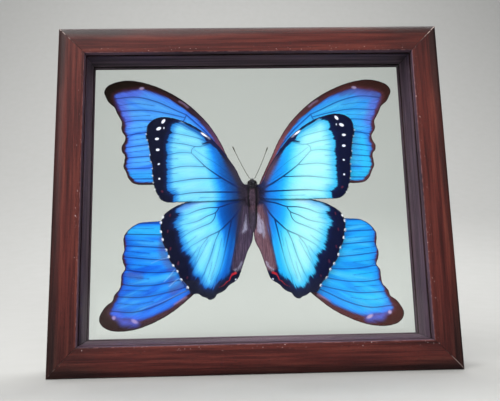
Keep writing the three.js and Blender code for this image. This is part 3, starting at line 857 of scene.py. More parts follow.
def wingFinish(name, tint):
    finish = Finish(name, {
        "IOR": 1.45, "Sheen Weight": 0.04, "Sheen Roughness": 0.35, "Sheen Tint": ink(*tint["sheen"]),
        "Specular IOR Level": 0.12,
    })
    names = (*strokeFields, "root", "blue", "glow", "margin", "dusk", "white", "ring", "fringe")
    fields = {key: finish.field(key) for key in names}
    root, blue = fields["root"], fields["blue"]
    colour, ray, fineRay, speck = blueScales(finish, fields, tint)
    # Pale strokes: on the creased wing these are painted highlights along the creases.
    colour = finish.mix(fields["pale"].below(-0.2, 0.35) * tint["paleStrength"], colour, (172, 214, 250))
    spikes = (fineRay - 0.5) * tint["spikes"] + (ray - 0.5) * tint["spikes"]
    spikes = spikes - fields["vein"].below(0, 0.9) * 0.4
    apex = root.above(56, 66) * tint["apexSoft"]
    softEdge = tint["soft"] + root.below(15, 24) * 2.2 + apex * 0.4
    isBlue = (blue + spikes).above(tint["hardEdge"] - apex, softEdge)
    border = [(at / 80, shade) for at, shade in tint["border"]]  # stops at millimetres from the root
    rimTone = finish.ramp(root / 80 + (ray - 0.5) * 0.1, border)
    flushing = root.above(tint["flushFrom"], tint["flushFrom"] + 14)
    flush = (blue + (fineRay - 0.5) * 1.5).above(-2.2, -0.2) * flushing
    rimTone = finish.mix(flush * 0.5, rimTone, tint["flush"])
    rimTone = finish.scaled(rimTone, 0.85 + (speck - 0.5) * 0.5 + (fineRay - 0.5) * 0.5)
    colour = finish.mix(isBlue, rimTone, colour)
    bloom = (fields["lilac"] + (fineRay - 0.5) * 2.4 + (ray - 0.5) * 2.4).below(-2, 2) * (1 - isBlue)
    colour = finish.mix(bloom * tint["bloom"], colour, tint["lilac"])
    blot = (fields["blot"] + (fineRay - 0.5) * 1.2).below(-0.3, 0.5)
    colour = finish.mix(blot, colour, (18, 24, 62))
    hair = finish.noise(finish.place(2.4, 2.4, 0.16))
    fold = finish.ramp(hair + (ray - 0.5) * 0.4, tint["fold"])
    colour = finish.mix((fields["dusk"] + (fineRay - 0.5) * 1.6).above(-1.1, 1.0), colour, fold)
    silver = (fields["silver"] + (fineRay - 0.5) * 1.4 + (ray - 0.5) * 1.2).below(-0.5, 0.8)
    colour = finish.mix(silver * tint["silverStrength"], colour, tint["silver"])
    colour = finish.mix((fields["red"] + (fineRay - 0.5) * 0.8).below(-0.15, 0.16), colour, (162, 34, 46))
    colour = finish.mix(fields["ember"].below(-0.1, 0.25) * 0.5, colour, (108, 44, 62))
    colour = finish.mix(fields["white"].below(-0.2, tint["spotSoft"]), colour, tint["spot"])
    rim = (fields["margin"] + (fineRay - 0.5) * 0.4).below(0.1, 0.6)
    colour = finish.mix(rim * 0.85, colour, tint["rim"])
    size = tint["fringeSize"]
    dots = fields["fringe"].below(size - 0.4, size) * fields["margin"].below(0.3, 0.55)
    colour = finish.mix(dots * tint["fringeStrength"], colour, (236, 236, 244))
    below = undersideScales(finish, fields, speck, ray)
    isUnder = finish.field("under").above(0.45, 0.55)
    colour = finish.mix(isUnder, colour, below)
    ridge = fields["vein"].below(-0.1, 0.3) * 0.8 + speck * 0.25 + fineRay * 0.35
    return finish.surface(
        Base_Color=colour,
        Roughness=0.62 - isBlue * (1 - isUnder) * 0.2 + (speck - 0.5) * 0.2,
        Metallic=isBlue * (1 - isUnder) * tint["gleam"],
        Normal=finish.bump(ridge, 0.00016, 0.55),
    )


# In each tint the two pleat tones and their strength paint shade and highlight on the pleats, and the tone and
# strength beside the veins paint shade there.
frontTint = {
    "scales": [(-13, (48, 42, 58)), (-9.5, (34, 42, 78)), (-6.5, (22, 62, 122)), (-3.5, (16, 88, 172)),
               (-1.2, (22, 126, 222)), (0.8, (56, 172, 239)), (3.5, (114, 206, 242)), (7, (122, 208, 242)),
               (12, (132, 212, 242))],
    "feather": 1.6, "bloom": 0, "edge": (18, 84, 176), "edgeStrength": 0.75, "edgeWidth": 4.2,
    "veinShadeAndDashTone": (34, 130, 212),
    "deep": (66, 184, 240), "light": (150, 222, 248), "pleatShading": 0.2,
    "cell": (60, 210, 255), "lilac": (134, 150, 236),
    "dashes": 0.55, "veinShading": 0.25, "veins": (10, 32, 88), "veinFade": 0.6, "streaks": 0.5,
    "spikes": 2.0, "soft": 0.5, "hardEdge": -0.3, "apexSoft": 0,
    "border": [(0, (44, 38, 52)), (10, (46, 40, 56)), (18, (38, 34, 52)), (24, (16, 19, 46)),
               (32, (6, 10, 38)), (60, (6, 10, 38))],
    "flush": (16, 34, 84), "flushFrom": 20, "paleStrength": 0.7,
    "fold": [(0.3, (42, 34, 52)), (0.5, (66, 54, 76)), (0.7, (96, 78, 102))],
    "silver": (182, 180, 208), "silverStrength": 0.65, "spot": (232, 232, 252), "spotSoft": 0.12,
    "rim": (20, 20, 38), "fringeStrength": 0.8, "fringeSize": 0.45, "gleam": 0.12, "sheen": (120, 220, 255),
}
frontPaleTint = {
    **frontTint, "fringeStrength": 0.3,
    "scales": [(-14, (46, 40, 74)), (-10.5, (32, 70, 146)), (-7.5, (26, 116, 212)), (-4.2, (24, 142, 232)),
               (-1.6, (38, 172, 238)), (0.6, (90, 208, 240)), (3.2, (134, 223, 241)), (7, (164, 234, 242)),
               (12, (170, 236, 242))],
    "edge": (28, 162, 230), "edgeStrength": 0.65, "edgeWidth": 5.0, "veinShadeAndDashTone": (70, 188, 232),
    "veins": (8, 38, 92), "veinFade": 0.4, "veinShading": 0.16,
    "dashes": 0.4, "deep": (120, 226, 244), "light": (186, 244, 248), "pleatShading": 0.2, "lilac": (166, 186, 238),
    "border": [(0, (30, 34, 66)), (4.5, (36, 44, 86)), (8, (84, 60, 76)), (13, (84, 62, 80)),
               (17, (70, 54, 78)), (22, (26, 30, 70)), (30, (8, 14, 48)), (60, (6, 12, 46))],
    "fold": [(0.3, (84, 56, 68)), (0.5, (112, 78, 90)), (0.7, (138, 104, 116))], "sheen": (170, 240, 255),
}
feathered = {
    "spikes": 3.4, "soft": 1.0, "feather": 1.2, "fringeStrength": 0.9, "fringeSize": 0.8, "veinFade": 0.3,
}
hindTint = {
    **frontTint, **feathered,
    "scales": [(-13, (48, 42, 58)), (-9.5, (34, 42, 78)), (-6.5, (12, 52, 116)), (-3.5, (4, 68, 148)),
               (-1.6, (4, 86, 178)), (-0.2, (20, 126, 222)), (1.2, (66, 180, 242)), (4, (110, 210, 247)),
               (9, (132, 218, 248))],
}
looseTint = {
    **frontTint,
    "scales": [(-2, (70, 44, 74)), (0, (64, 76, 176)), (1.4, (64, 136, 246)),
               (4, (76, 168, 252)), (12, (84, 176, 253))],
    "outer": [(-2, (80, 46, 66)), (0, (82, 78, 178)), (1.2, (84, 134, 248)), (3.5, (96, 168, 253)),
              (9, (88, 176, 253)), (16, (80, 176, 253))],
    "feather": 1.6, "edge": (42, 36, 100), "edgeStrength": 0.45, "edgeWidth": 1.6, "veinShadeAndDashTone": (36, 104, 236),
    "bloom": 0.6, "dashes": 0.25, "deep": (44, 112, 242), "light": (92, 180, 254), "pleatShading": 0.6,
    "lilac": (98, 96, 226), "veinShading": 0.42,
    "veins": (18, 34, 118), "veinFade": 0.75, "streaks": 0.7, "spikes": 1.3, "soft": 0.8,
    "hardEdge": 0.2, "apexSoft": 0.4, "cell": (44, 166, 250),
    "border": [(0, (86, 50, 62)), (24, (108, 64, 88)), (34, (84, 54, 88)), (44, (48, 32, 48)),
               (58, (32, 18, 22)), (70, (40, 24, 20)), (80, (32, 22, 16))],
    "flush": (76, 40, 50), "flushFrom": 44,
    "silver": (176, 142, 184), "silverStrength": 0.5, "rim": (24, 16, 20), "spot": (170, 150, 190),
    "spotSoft": 0.6, "sheen": (120, 160, 255), "fringeStrength": 0.0,
}
looseCyanTint = {
    **looseTint,
    "cell": (44, 198, 252),
    "scales": [(-2, (80, 48, 70)), (0, (56, 88, 180)), (1.4, (50, 148, 242)),
               (4, (62, 182, 251)), (12, (68, 196, 252))],
    "outer": [(-2, (96, 52, 58)), (0, (80, 84, 184)), (1.4, (78, 130, 240)), (4, (76, 152, 250)),
              (9, (64, 174, 250)), (16, (60, 184, 252))],
    "veinShadeAndDashTone": (32, 144, 238), "deep": (38, 146, 242), "light": (88, 206, 254), "veins": (18, 50, 136),
    "border": [(0, (96, 56, 64)), (24, (128, 74, 84)), (40, (92, 52, 60)), (56, (58, 32, 36)),
               (70, (74, 40, 38)), (80, (62, 34, 30))],
    "flush": (104, 56, 66), "lilac": (108, 108, 212),
}
looseDeepTint = {
    **looseTint,
    "cell": (48, 184, 250),
    "scales": [(-2, (60, 40, 70)), (0, (36, 60, 160)), (1.4, (24, 108, 226)),
               (4, (26, 134, 240)), (12, (32, 148, 246))],
    "outer": [(-2, (72, 38, 50)), (0, (50, 56, 160)), (1.4, (32, 102, 230)), (4, (32, 128, 242)),
              (9, (32, 140, 244)), (16, (36, 150, 248))],
    "veinShadeAndDashTone": (16, 80, 204), "deep": (18, 88, 220), "light": (68, 178, 252), "pleatShading": 0.8,
    "veins": (14, 30, 100),
    "border": [(0, (54, 26, 48)), (30, (64, 30, 60)), (45, (48, 16, 34)),
               (60, (46, 9, 13)), (80, (43, 6, 6))],
    "flush": (86, 46, 66), "lilac": (88, 112, 246), "paleStrength": 0.45, "spot": (156, 138, 196),
}
looseTealTint = {
    **looseCyanTint,
    "scales": [(-2, (60, 40, 70)), (0, (36, 78, 166)), (1.4, (26, 132, 232)),
               (4, (30, 162, 244)), (12, (36, 174, 248))],
    "outer": [(-2, (84, 44, 52)), (0, (54, 76, 172)), (1.4, (42, 146, 244)), (4, (44, 188, 252)),
              (9, (48, 202, 253)), (16, (52, 202, 253))],
    "border": [(0, (54, 26, 48)), (30, (70, 30, 58)), (45, (58, 20, 34)), (60, (72, 24, 24)),
               (70, (80, 22, 15)), (80, (66, 16, 10))],
    "flush": (96, 52, 64), "lilac": (84, 118, 242), "deep": (26, 122, 228), "pleatShading": 0.65,
}


def placing(side, midline, turn=0):  # left is -1, right is 1, and a turn is in degrees
    return {"side": side, "midline": midline, "turn": turn}


wings = {
    "back_wing_upper_left": (looseWing, placing(-1, -0.25), looseTint, "back_wing"),
    "back_wing_upper_right": (smokyWing, placing(1, -0.25, 0.7), looseCyanTint, "back_wing"),
    "back_wing_lower_left": (creasedWing, placing(-1, -0.4), looseDeepTint, "back_wing"),
    "back_wing_lower_right": (looseLowerWing, placing(1, -0.4), looseTealTint, "back_wing"),
    "hindwing_left": (hindWing, placing(-1, 0.8), hindTint, "front_wing"),
    "hindwing_right": (tuftedHindWing, placing(1, 0.8, 0.6), {**frontPaleTint, **feathered}, "front_wing"),
    "forewing_left": (foreWing, placing(-1, 0.8), frontTint, "front_wing"),
    "forewing_right": (foreWing, placing(1, 0.8, -1), frontPaleTint, "front_wing"),
}
sheets = {}
for seed, (node, (shape, place, tint, slot)) in enumerate(wings.items()):
    sheets[node] = makeWing(node, shape, place, wingFinish(node + "Scales", tint), slot, seed + 11, wingMesh)
print("wings done")


# body: head, thorax and ringed abdomen are one turned shape, then the eyes and the mouth palps

bodyShape = {
    "centre": (bodyAxis, 3.4), "around": 44, "step": 0.16, "eyeRadius": 0.95,
    "rings": 7, "ringTop": -6.0, "ringLength": 11.4,
    "outline": [(7.2, 0), (6.8, 1.0), (6.1, 1.7), (5.3, 1.95), (4.6, 1.9), (4.0, 2.3), (3, 2.85), (1.2, 3.25),
                (-0.8, 3.3), (-2.8, 3), (-4.6, 2.5), (-5.6, 2.05)],
}


def bodyRadius(z, s):
    outline = np.array(s["outline"][::-1])
    smooth = smoothLine(outline, 0.1)
    radius = np.interp(z, smooth[:, 0], smooth[:, 1])
    t = np.clip((s["ringTop"] - z) / s["ringLength"], 0, 1)
    ring = np.abs(np.sin(math.pi * t * s["rings"])) ** 0.5
    belly = (0.5 + 1.75 * np.sqrt(1 - t ** 2.6)) * (0.93 + 0.07 * ring)
    blend = np.clip((z + 6.4) / 1.0, 0, 1)
    return np.where(z > -5.4, radius, radius * blend + belly * (1 - blend))


def turnedRows(zs, radii, centre, around, flat):
    turns = np.linspace(0, math.tau, around, endpoint=False)
    x, y = centre
    vertices = []
    for z, radius, squeeze in zip(zs, radii, flat):
        ring = [(x + radius * math.sin(turn), y - radius * squeeze * math.cos(turn), z) for turn in turns]
        vertices += ring
    last = (len(zs) - 1) * around
    ends = [tuple(range(around))[::-1], tuple(range(last, last + around))]
    return vertices, ringFaces(len(zs), around) + ends


def bodyParts(s):
    zs = np.arange(-17.75, 7.3, s["step"])
    flat = np.where(zs > 4.4, 0.85, np.interp(zs, (-17, 4.4), (0.92, 0.78)))
    radii = bodyRadius(zs, s)
    radii[0] = 0.05
    radii[-1] = min(radii[-1], 0.5)
    parts = [(turnedRows(zs, radii, s["centre"], s["around"], flat), 0.0)]
    x, y = s["centre"]
    size = s["eyeRadius"]
    ball = np.linspace(-0.995, 0.995, 15) * math.pi / 2
    palpRadii = [0.38, 0.4, 0.38, 0.35, 0.31, 0.26, 0.2, 0.13, 0.04]
    for side in (-1, 1):
        heights = 5.7 + size * 1.05 * np.sin(ball)
        eye = turnedRows(heights, size * 0.8 * np.cos(ball), (x + side * 1.3, y - 0.2), 22, [1.25] * 15)
        heights = np.linspace(6.5, 7.95, 9)
        palp = turnedRows(heights, palpRadii, (x + side * 0.45, y - 0.3), 12, [1] * 9)
        parts += [(eye, 1.0), (palp, 2.0)]
    return parts


def joinParts(parts):
    vertices, faces, kinds = [], [], []
    for (points, polygons), kind in parts:
        faces += [tuple(len(vertices) + i for i in polygon) for polygon in polygons]
        vertices += points
        kinds += [kind] * len(points)
    return np.array(vertices), faces, kinds


def bodyFinish():
    finish = Finish("furredBody", {
        "IOR": 1.45, "Sheen Weight": 0.1, "Sheen Roughness": 0.5, "Sheen Tint": ink(150, 120, 140),
    })
    place = finish.place()
    across = finish.axis(place, 0) - 0.5
    up = finish.axis(place, 2) - sightHeight
    kind = finish.field("kind")
    tufts = finish.noise(finish.place(1.6, 1.6, 0.6), 4.0, 0.6)
    strip = (across + (tufts - 0.5) * 1.2).size().below(1.1, 1.5)
    plum = finish.ramp(tufts, [(0.3, (46, 31, 43)), (0.5, (70, 51, 66)), (0.7, (102, 80, 96))])
    belly = finish.ramp(tufts, [(0.3, (34, 28, 42)), (0.7, (78, 66, 86))])
    plum = finish.mix(up.below(-10, -7), plum, belly)
    sides = finish.mix(across.size().above(1.9, 2.6) * up.above(-7, -5.5), (22, 18, 26), (58, 48, 60))
    colour = finish.mix(strip * up.below(2.0, 3.0), sides, plum)
    ring = (up * -3.858 - 23.15).wave().size().below(0.12, 0.4) * up.below(-6.2, -5.6)  # two lines to a ring
    colour = finish.mix(ring * 0.6, colour, (34, 24, 34))
    specks = finish.cells(place, 1.4).below(0.2, 0.34) * up.above(3.4, 4.2)
    colour = finish.mix(specks * 0.45, colour, (176, 176, 180))
    isEye = kind.above(0.9, 0.95) * kind.below(1.05, 1.1)
    colour = finish.mix(isEye, colour, finish.ramp(tufts, [(0.3, (14, 12, 14)), (0.7, (36, 28, 26))]))
    facets = finish.cells(place, 9.0)
    return finish.surface(
        Base_Color=colour, Roughness=0.85 - isEye * 0.6, Coat_Weight=isEye * 0.5,
        Normal=finish.bump(tufts * (1 - isEye) + facets * isEye * 0.4, 0.0002, 0.6),
    )


bodyPoints, bodyFaces, bodyKinds = joinParts(bodyParts(bodyShape))
bodyPoints[:, 2] += sightHeight
body = makePiece("body_detail", bodyPoints, bodyFaces, {"kind": bodyKinds}, 60)
facesOut(body.data)
settle(body, bodyFinish(), "insect_body", "body")
print("body done")


# antennae: ringed stalks that thicken into a club

antennaShape = {"radius": 0.13, "club": 0.3, "ringLength": 0.42, "around": 10, "rows": 132}


def antennaPoints(side, tip, s):
    base = np.array((bodyAxis + side * 1.2, 2.2, 7.5))
    tip = np.array(tip)
    bend = (base + tip) / 2 + (side * 0.5, -0.5, -0.3)
    ts = np.linspace(0, 1, s["rows"])
    path = [(1 - t) ** 2 * base + 2 * t * (1 - t) * bend + t * t * tip for t in ts]
    length = np.linalg.norm(tip - base)
    swell = np.exp(-((ts - 0.93) / 0.07) ** 2) * (s["club"] - s["radius"])
    pinch = 1 - 0.1 * np.abs(np.cos(math.pi * ts * length / s["ringLength"])) ** 8
    radii = (s["radius"] + swell) * pinch * np.clip((1 - ts) * 60, 0.05, 1) ** 0.5
    return np.array(path), radii


def tube(path, radii, around):
    tangents = np.gradient(path, axis=0)
    tangents /= np.linalg.norm(tangents, axis=1)[:, None]
    depth = np.array((0, 1, 0))
    across = np.cross(depth, tangents)
    across /= np.linalg.norm(across, axis=1)[:, None]
    other = np.cross(tangents, across)
    vertices = []
    for point, a, b, radius in zip(path, across, other, radii):
        for turn in np.linspace(0, math.tau, around, endpoint=False):
            vertices.append(point + radius * (a * math.cos(turn) + b * math.sin(turn)))
    last = (len(path) - 1) * around
    ends = [tuple(range(around)), tuple(range(last, last + around))]
    return np.array(vertices), ringFaces(len(path), around) + ends


def antennaFinish(s):
    finish = Finish("ringedAntenna", {"IOR": 1.5})
    along = finish.field("along")
    rings = (along * (math.tau / s["ringLength"])).wave()
    grain = finish.noise(finish.place(3, 3, 3))
    colour = finish.ramp(grain, [(0.3, (34, 32, 24)), (0.7, (66, 62, 42))])
    colour = finish.mix(rings.above(0.75, 0.95) * 0.5, colour, (120, 112, 90))
    bump = finish.bump(rings, 0.00003, 0.5)
    return finish.surface(Base_Color=colour, Roughness=0.5 + grain * 0.2, Normal=bump)


antennaStain = antennaFinish(antennaShape)
for node, side, tip in (("antenna_left", -1, (-8.3, 2.7, 23.2)), ("antenna_right", 1, (8.4, 2.7, 22.6))):
    path, radii = antennaPoints(side, tip, antennaShape)
    points, faces = tube(path, radii, antennaShape["around"])
    along = np.repeat(np.linspace(0, np.linalg.norm(path[-1] - path[0]), len(path)), antennaShape["around"])
    points[:, 2] += sightHeight
    antenna = makePiece(node + "_detail", points, faces, {"along": along}, 60)
    facesOut(antenna.data)
    settle(antenna, antennaStain, "antenna", node)
print("antennae done")


# hair: one blade, planted by a Geometry Nodes tree over a patch that says how thick, long and which way

bladeShape = {"sides": 3, "rows": [(0, 1, 0), (0.35, 0.9, 0.5), (0.7, 0.6, 2.0)], "tip": 4.0}


def makeBlade(s):
    sides = s["sides"]
    vertices = []
    for height, radius, bend in s["rows"]:
        for turn in np.linspace(0, math.tau, sides, endpoint=False):
            vertices.append((bend + radius * math.cos(turn), radius * math.sin(turn), height))
    vertices.append((s["tip"], 0, 1))
    faces = [tuple(range(sides))[::-1]]
    for row in range(len(s["rows"])):
        for i in range(sides):
            j = (i + 1) % sides
            low, high = (row * sides + i, row * sides + j), ((row + 1) * sides + j, (row + 1) * sides + i)
            faces.append(low + high if row < len(s["rows"]) - 1 else low + (len(vertices) - 1,))
    return makePiece("blade", vertices, faces)


def plantingTree():
    nodeTree = bpy.data.node_groups.new("plantedHair", "GeometryNodeTree")
    sockets = {
        "Patch": "Geometry", "Blade": "Object", "Density": "Float", "Length": "Float", "Width": "Float",
        "Lift": "Float", "Mess": "Float", "Seed": "Int", "Finish": "Material",
    }
    for name, kind in sockets.items():
        nodeTree.interface.new_socket(name, in_out="INPUT", socket_type="NodeSocket" + kind)
    nodeTree.interface.new_socket("Hair", in_out="OUTPUT", socket_type="NodeSocketGeometry")
    tree = Tree(nodeTree)
    patch = tree.node("NodeGroupInput")
    cover = tree.node("GeometryNodeInputNamedAttribute", {}, {"Name": "cover"})
    reach = tree.node("GeometryNodeInputNamedAttribute", {}, {"Name": "reach"})
    flow = tree.node("GeometryNodeInputNamedAttribute", {"data_type": "FLOAT_VECTOR"}, {"Name": "flow"})
    roots = tree.node("GeometryNodeDistributePointsOnFaces", {}, {
        "Mesh": patch, "Density": cover * patch.beside("Density") * 1e6, "Seed": patch.beside("Seed"),
    })
    scatter = tree.node("FunctionNodeRandomValue", {"data_type": "FLOAT_VECTOR"}, {
        0: (-1, -1, -1), 1: (1, 1, 1), "Seed": patch.beside("Seed"),
    })
    chance = tree.node("FunctionNodeRandomValue", {}, {2: 0.0, 3: 1.0, "Seed": patch.beside("Seed")}, 1)
    way = tree.joined(flow, tree.scaled(roots.beside("Normal"), patch.beside("Lift")))
    way = tree.joined(way, tree.scaled(scatter, patch.beside("Mess")))
    turn = tree.node("FunctionNodeAlignRotationToVector", {"axis": "Z"}, {"Vector": way})
    width = patch.beside("Width")
    size = tree.node("ShaderNodeCombineXYZ", {}, {
        0: width, 1: width, 2: patch.beside("Length") * reach * (chance * 0.6 + 0.7),
    })
    blade = tree.node("GeometryNodeObjectInfo", {}, {"Object": patch.beside("Blade")}, "Geometry")
    hairs = tree.node("GeometryNodeInstanceOnPoints", {}, {
        "Points": roots, "Instance": blade, "Rotation": turn, "Scale": size,
    })
    toned = tree.node("GeometryNodeStoreNamedAttribute", {"domain": "INSTANCE"}, {
        "Geometry": hairs, "Name": "tone", "Value": chance,
    })
    solid = tree.node("GeometryNodeRealizeInstances", {}, {"Geometry": toned})
    painted = {"Geometry": solid, "Material": patch.beside("Finish")}
    tree.node("NodeGroupOutput", {}, {"Hair": tree.node("GeometryNodeSetMaterial", {}, painted)})
    return nodeTree


blade = makeBlade(bladeShape)
hairTree = plantingTree()


def plantHair(name, patch, finish, slot, s):
    piece = bpy.data.objects.new(name, patch)
    bpy.context.scene.collection.objects.link(piece)
    planting = piece.modifiers.new("planting", "NODES")
    planting.node_group = hairTree
    wanted = {**s, "Blade": blade, "Finish": finish}
    for item in hairTree.interface.items_tree:
        if item.in_out == "INPUT" and item.name in wanted:
            planting[item.identifier] = wanted[item.name]
    graph = bpy.context.evaluated_depsgraph_get()
    hair = bpy.data.meshes.new_from_object(piece.evaluated_get(graph), depsgraph=graph)
    piece.modifiers.clear()
    piece.data = hair
    hair.name = name
    settle(piece, finish, slot)
    print(name, len(hair.polygons), "faces")


def hairSurface(finish, colour, tone, streaks=0.5, roughness=0.75):
    strand = finish.noise(finish.place(4, 4, 1))
    colour = finish.scaled(colour, strand * streaks + (1 - streaks / 2))
    return finish.surface(Base_Color=colour, Roughness=roughness + (tone - 0.5) * 0.2)


def fringeScales():
    finish = Finish("marginScales", {"IOR": 1.45, "Sheen Weight": 0.3, "Sheen Roughness": 0.4})
    tone = finish.field("tone")
    dark = finish.ramp(tone, [(0, (14, 14, 26)), (1, (44, 38, 56))])
    pale = finish.ramp(tone, [(0, (206, 206, 220)), (1, (246, 246, 250))])
    mask = (finish.field("pale") + (tone - 0.5) * 0.5).above(0.4, 0.6)
    return hairSurface(finish, finish.mix(mask, dark, pale), tone)


furTones = {
    "black": [(0, (5, 4, 8)), (0.5, (9, 8, 14)), (1, (30, 26, 36))],
    "side": [(0, (36, 27, 42)), (0.5, (60, 45, 64)), (1, (96, 78, 100))],
    "strip": [(0, (29, 20, 33)), (0.45, (54, 40, 57)), (0.8, (84, 65, 86)), (1, (130, 110, 128))],
    "belly": [(0, (20, 18, 30)), (0.45, (40, 34, 54)), (0.8, (63, 54, 78)), (1, (100, 90, 114))],
    "maroon": [(0, (44, 16, 22)), (0.5, (84, 38, 44)), (1, (120, 70, 74))],
}


def furFinish():
    finish = Finish("bodyHair", {"IOR": 1.45, "Specular IOR Level": 0.3})
    tone = finish.field("tone")
    up = finish.axis(finish.place(), 2) - sightHeight
    shades = {key: finish.ramp(tone, stops) for key, stops in furTones.items()}
    waist = up.above(-7.6, -6.8) * up.below(-5.6, -4.8)
    strip = finish.mix(up.below(-10, -7), shades["strip"], shades["belly"])
    strip = finish.mix(waist * 0.7, strip, shades["maroon"])
    colour = finish.mix(finish.field("side"), shades["black"], shades["side"])
    colour = finish.mix((finish.field("pale") + (tone - 0.5) * 0.5).above(0.4, 0.6), colour, strip)
    colour = finish.mix(up.above(2.6, 3.4) * tone.above(0.9, 0.94) * 0.85, colour, (150, 148, 156))
    colour = finish.scaled(colour, 1 - finish.field("shade") * 0.6)
    return hairSurface(finish, colour, tone, 0.8)


def bodyFur():
    points = bodyPoints - (bodyShape["centre"][0], bodyShape["centre"][1], sightHeight)
    x, y, z = points.T
    ground = np.array(bodyKinds) < 0.5
    thorax = np.clip((z + 6.5) / 1.5, 0, 1) * np.clip((5.4 - z) / 1.2, 0.35, 1)
    cover = np.where(ground, np.maximum(thorax, 0.55), 0) * np.clip((z + 17.2) / 0.6, 0, 1)
    side = np.clip(x / 3, -1, 1)
    flow = np.column_stack([side * 0.4, np.zeros(len(x)), np.interp(z, (-6, 0, 3, 5), (-1, -0.6, 0.1, 0.6))])
    reach = np.interp(z, (-17, -7, -5, 1, 3.5, 5, 7), (0.35, 0.4, 0.6, 0.65, 0.9, 0.9, 0.35))
    across = np.abs(x + 0.1)
    half = np.interp(z, (-15, -7, -4.5, 0, 2.4), (1.0, 1.4, 1.15, 1.4, 0.7)) + 0.12 * np.sin(z * 2.7)
    strip = across < half
    gap = np.clip(1.9 - across * 0.75, 0, 1) * (1 - strip)  # the dark line on each side of the strip
    t = np.clip((bodyShape["ringTop"] - z) / bodyShape["ringLength"], 0, 1)
    rings = np.abs(np.sin(math.pi * t * bodyShape["rings"])) < 0.5
    chest = np.clip((z + 7) / 1.5, 0, 1) * np.clip((4 - z) / 1.2, 0, 1)
    shade = gap * 0.8 + rings * (z < -6.5) * 0.7 + np.interp(z, (-17, -14.5, -8, -4), (1, 0.45, 0.45, 0))
    fields = {
        "cover": cover, "reach": reach * (0.55 + 0.45 * np.abs(side)), "flow": flow,
        "shade": np.clip(shade, 0, 1.3),
        "pale": (strip & (z < 2.0) & (z > -15.4) & (y < 0)).astype(float),
        "side": np.clip((across - 1.8) / 0.6, 0, 1) * chest,
    }
    patch = makeMesh("bodyPatch", bodyPoints, bodyFaces, fields)
    plantHair("body_fur", patch, furFinish(), "insect_body", {
        "Density": 26.0, "Length": 1.4, "Width": 0.034, "Lift": 0.35, "Mess": 0.42, "Seed": 3,
    })


def wingHair(node, seed):
    sheet = sheets[node]
    points, fields, side = sheet["points"], sheet["fields"], sheet["side"]
    offset = points - (bodyAxis, 0, sightHeight)
    away = np.linalg.norm(offset[:, [0, 2]], axis=1)
    outwards = offset / away[:, None]
    base = np.clip(((7.2 if side < 0 else 5.8) - away) / 4, 0, 0.7)
    fold = np.clip(fields["dusk"] / 0.8 + 0.4, 0, 1) * np.clip((away - 4) / 3, 0, 1)
    mix = np.clip(fold - base, 0, 1)[:, None]
    down = np.array((side * 0.12, -0.05, -1))
    flow = outwards * (1 - mix) + down * mix
    flow[:, 1] = -0.12
    patchFields = {
        "cover": np.maximum(base, fold * 0.8), "reach": 0.75 + base * 0.6 - mix[:, 0] * 0.1,
        "flow": flow, "pale": np.clip((1.1 - fields["silver"]) / 1.8, 0, 1), "fold": fold,
    }
    patch = makeMesh(node + "Patch", points, sheet["faces"], patchFields)
    plantHair(node + "_hair", patch, wingHairFinishes[side], "front_wing", {
        "Density": 16.0, "Length": 1.6, "Width": 0.026, "Lift": 0.12, "Mess": 0.26, "Seed": seed,
    })


def foldHairFinish(name, plumTones):
    finish = Finish(name, {"IOR": 1.4, "Specular IOR Level": 0.2})
    tone = finish.field("tone")
    dark = finish.ramp(tone, [(0, (28, 24, 36)), (0.6, (52, 44, 60)), (1, (84, 72, 92))])
    plum = finish.ramp(tone, plumTones)
    pale = finish.ramp(tone, [(0, (104, 100, 130)), (1, (196, 190, 214))])
    colour = finish.mix(finish.field("fold").above(0.2, 0.8), dark, plum)
    colour = finish.mix((finish.field("pale") + (tone - 0.5) * 0.8).above(0.35, 0.8), colour, pale)
    return hairSurface(finish, colour, tone, roughness=0.7)


def marginFringe(node, seed, size):
    sheet = sheets[node]
    count = sheet["rim"]
    ring = sheet["points"][:count]
    tangent = np.roll(ring, -1, axis=0) - np.roll(ring, 1, axis=0)
    outwards = np.column_stack([tangent[:, 2], np.zeros(count), -tangent[:, 0]])
    outwards /= np.linalg.norm(outwards, axis=1)[:, None]
    area = (ring[:, 0] * np.roll(ring[:, 2], -1) - np.roll(ring[:, 0], -1) * ring[:, 2]).sum()
    outwards *= math.copysign(1, area)
    dots = sheet["fields"]["fringe"][:count]
    white = np.clip((size - dots) / 0.25, 0, 1)
    fields = {
        "cover": np.tile((dots < 2.9).astype(float), 2), "reach": np.tile(0.6 + white * 0.5, 2),
        "flow": np.vstack([outwards, outwards]), "pale": np.tile(white, 2),
    }
    faces = [(i, (i + 1) % count, count + (i + 1) % count, count + i) for i in range(count)]
    patch = makeMesh(node + "Rim", np.vstack([ring, ring - outwards * 0.3]), faces, fields)
    plantHair(node + "_fringe", patch, fringeFinish, "front_wing", {
        "Density": 34.0, "Length": 0.75, "Width": 0.04, "Lift": 0.0, "Mess": 0.16, "Seed": seed,
    })


wingHairFinishes = {
    -1: foldHairFinish("leftWingHair", [(0, (38, 31, 48)), (0.5, (63, 51, 74)), (1, (98, 80, 102))]),
    1: foldHairFinish("rightWingHair", [(0, (72, 47, 62)), (0.5, (104, 72, 88)), (1, (138, 106, 120))]),
}
fringeFinish = fringeScales()
bodyFur()
for seed, node in enumerate(("forewing_left", "forewing_right", "hindwing_left", "hindwing_right")):
    wingHair(node, seed + 5)
    marginFringe(node, seed + 21, 0.5 if node.startswith("fore") else 0.85)
bpy.data.objects.remove(blade)
print("hair done")


# stage, light and camera

stageSettings = {"halfWidth": 6.0, "front": -9.0, "bend": 0.4, "bendRadius": 1.6, "top": 3.2, "steps": 40}


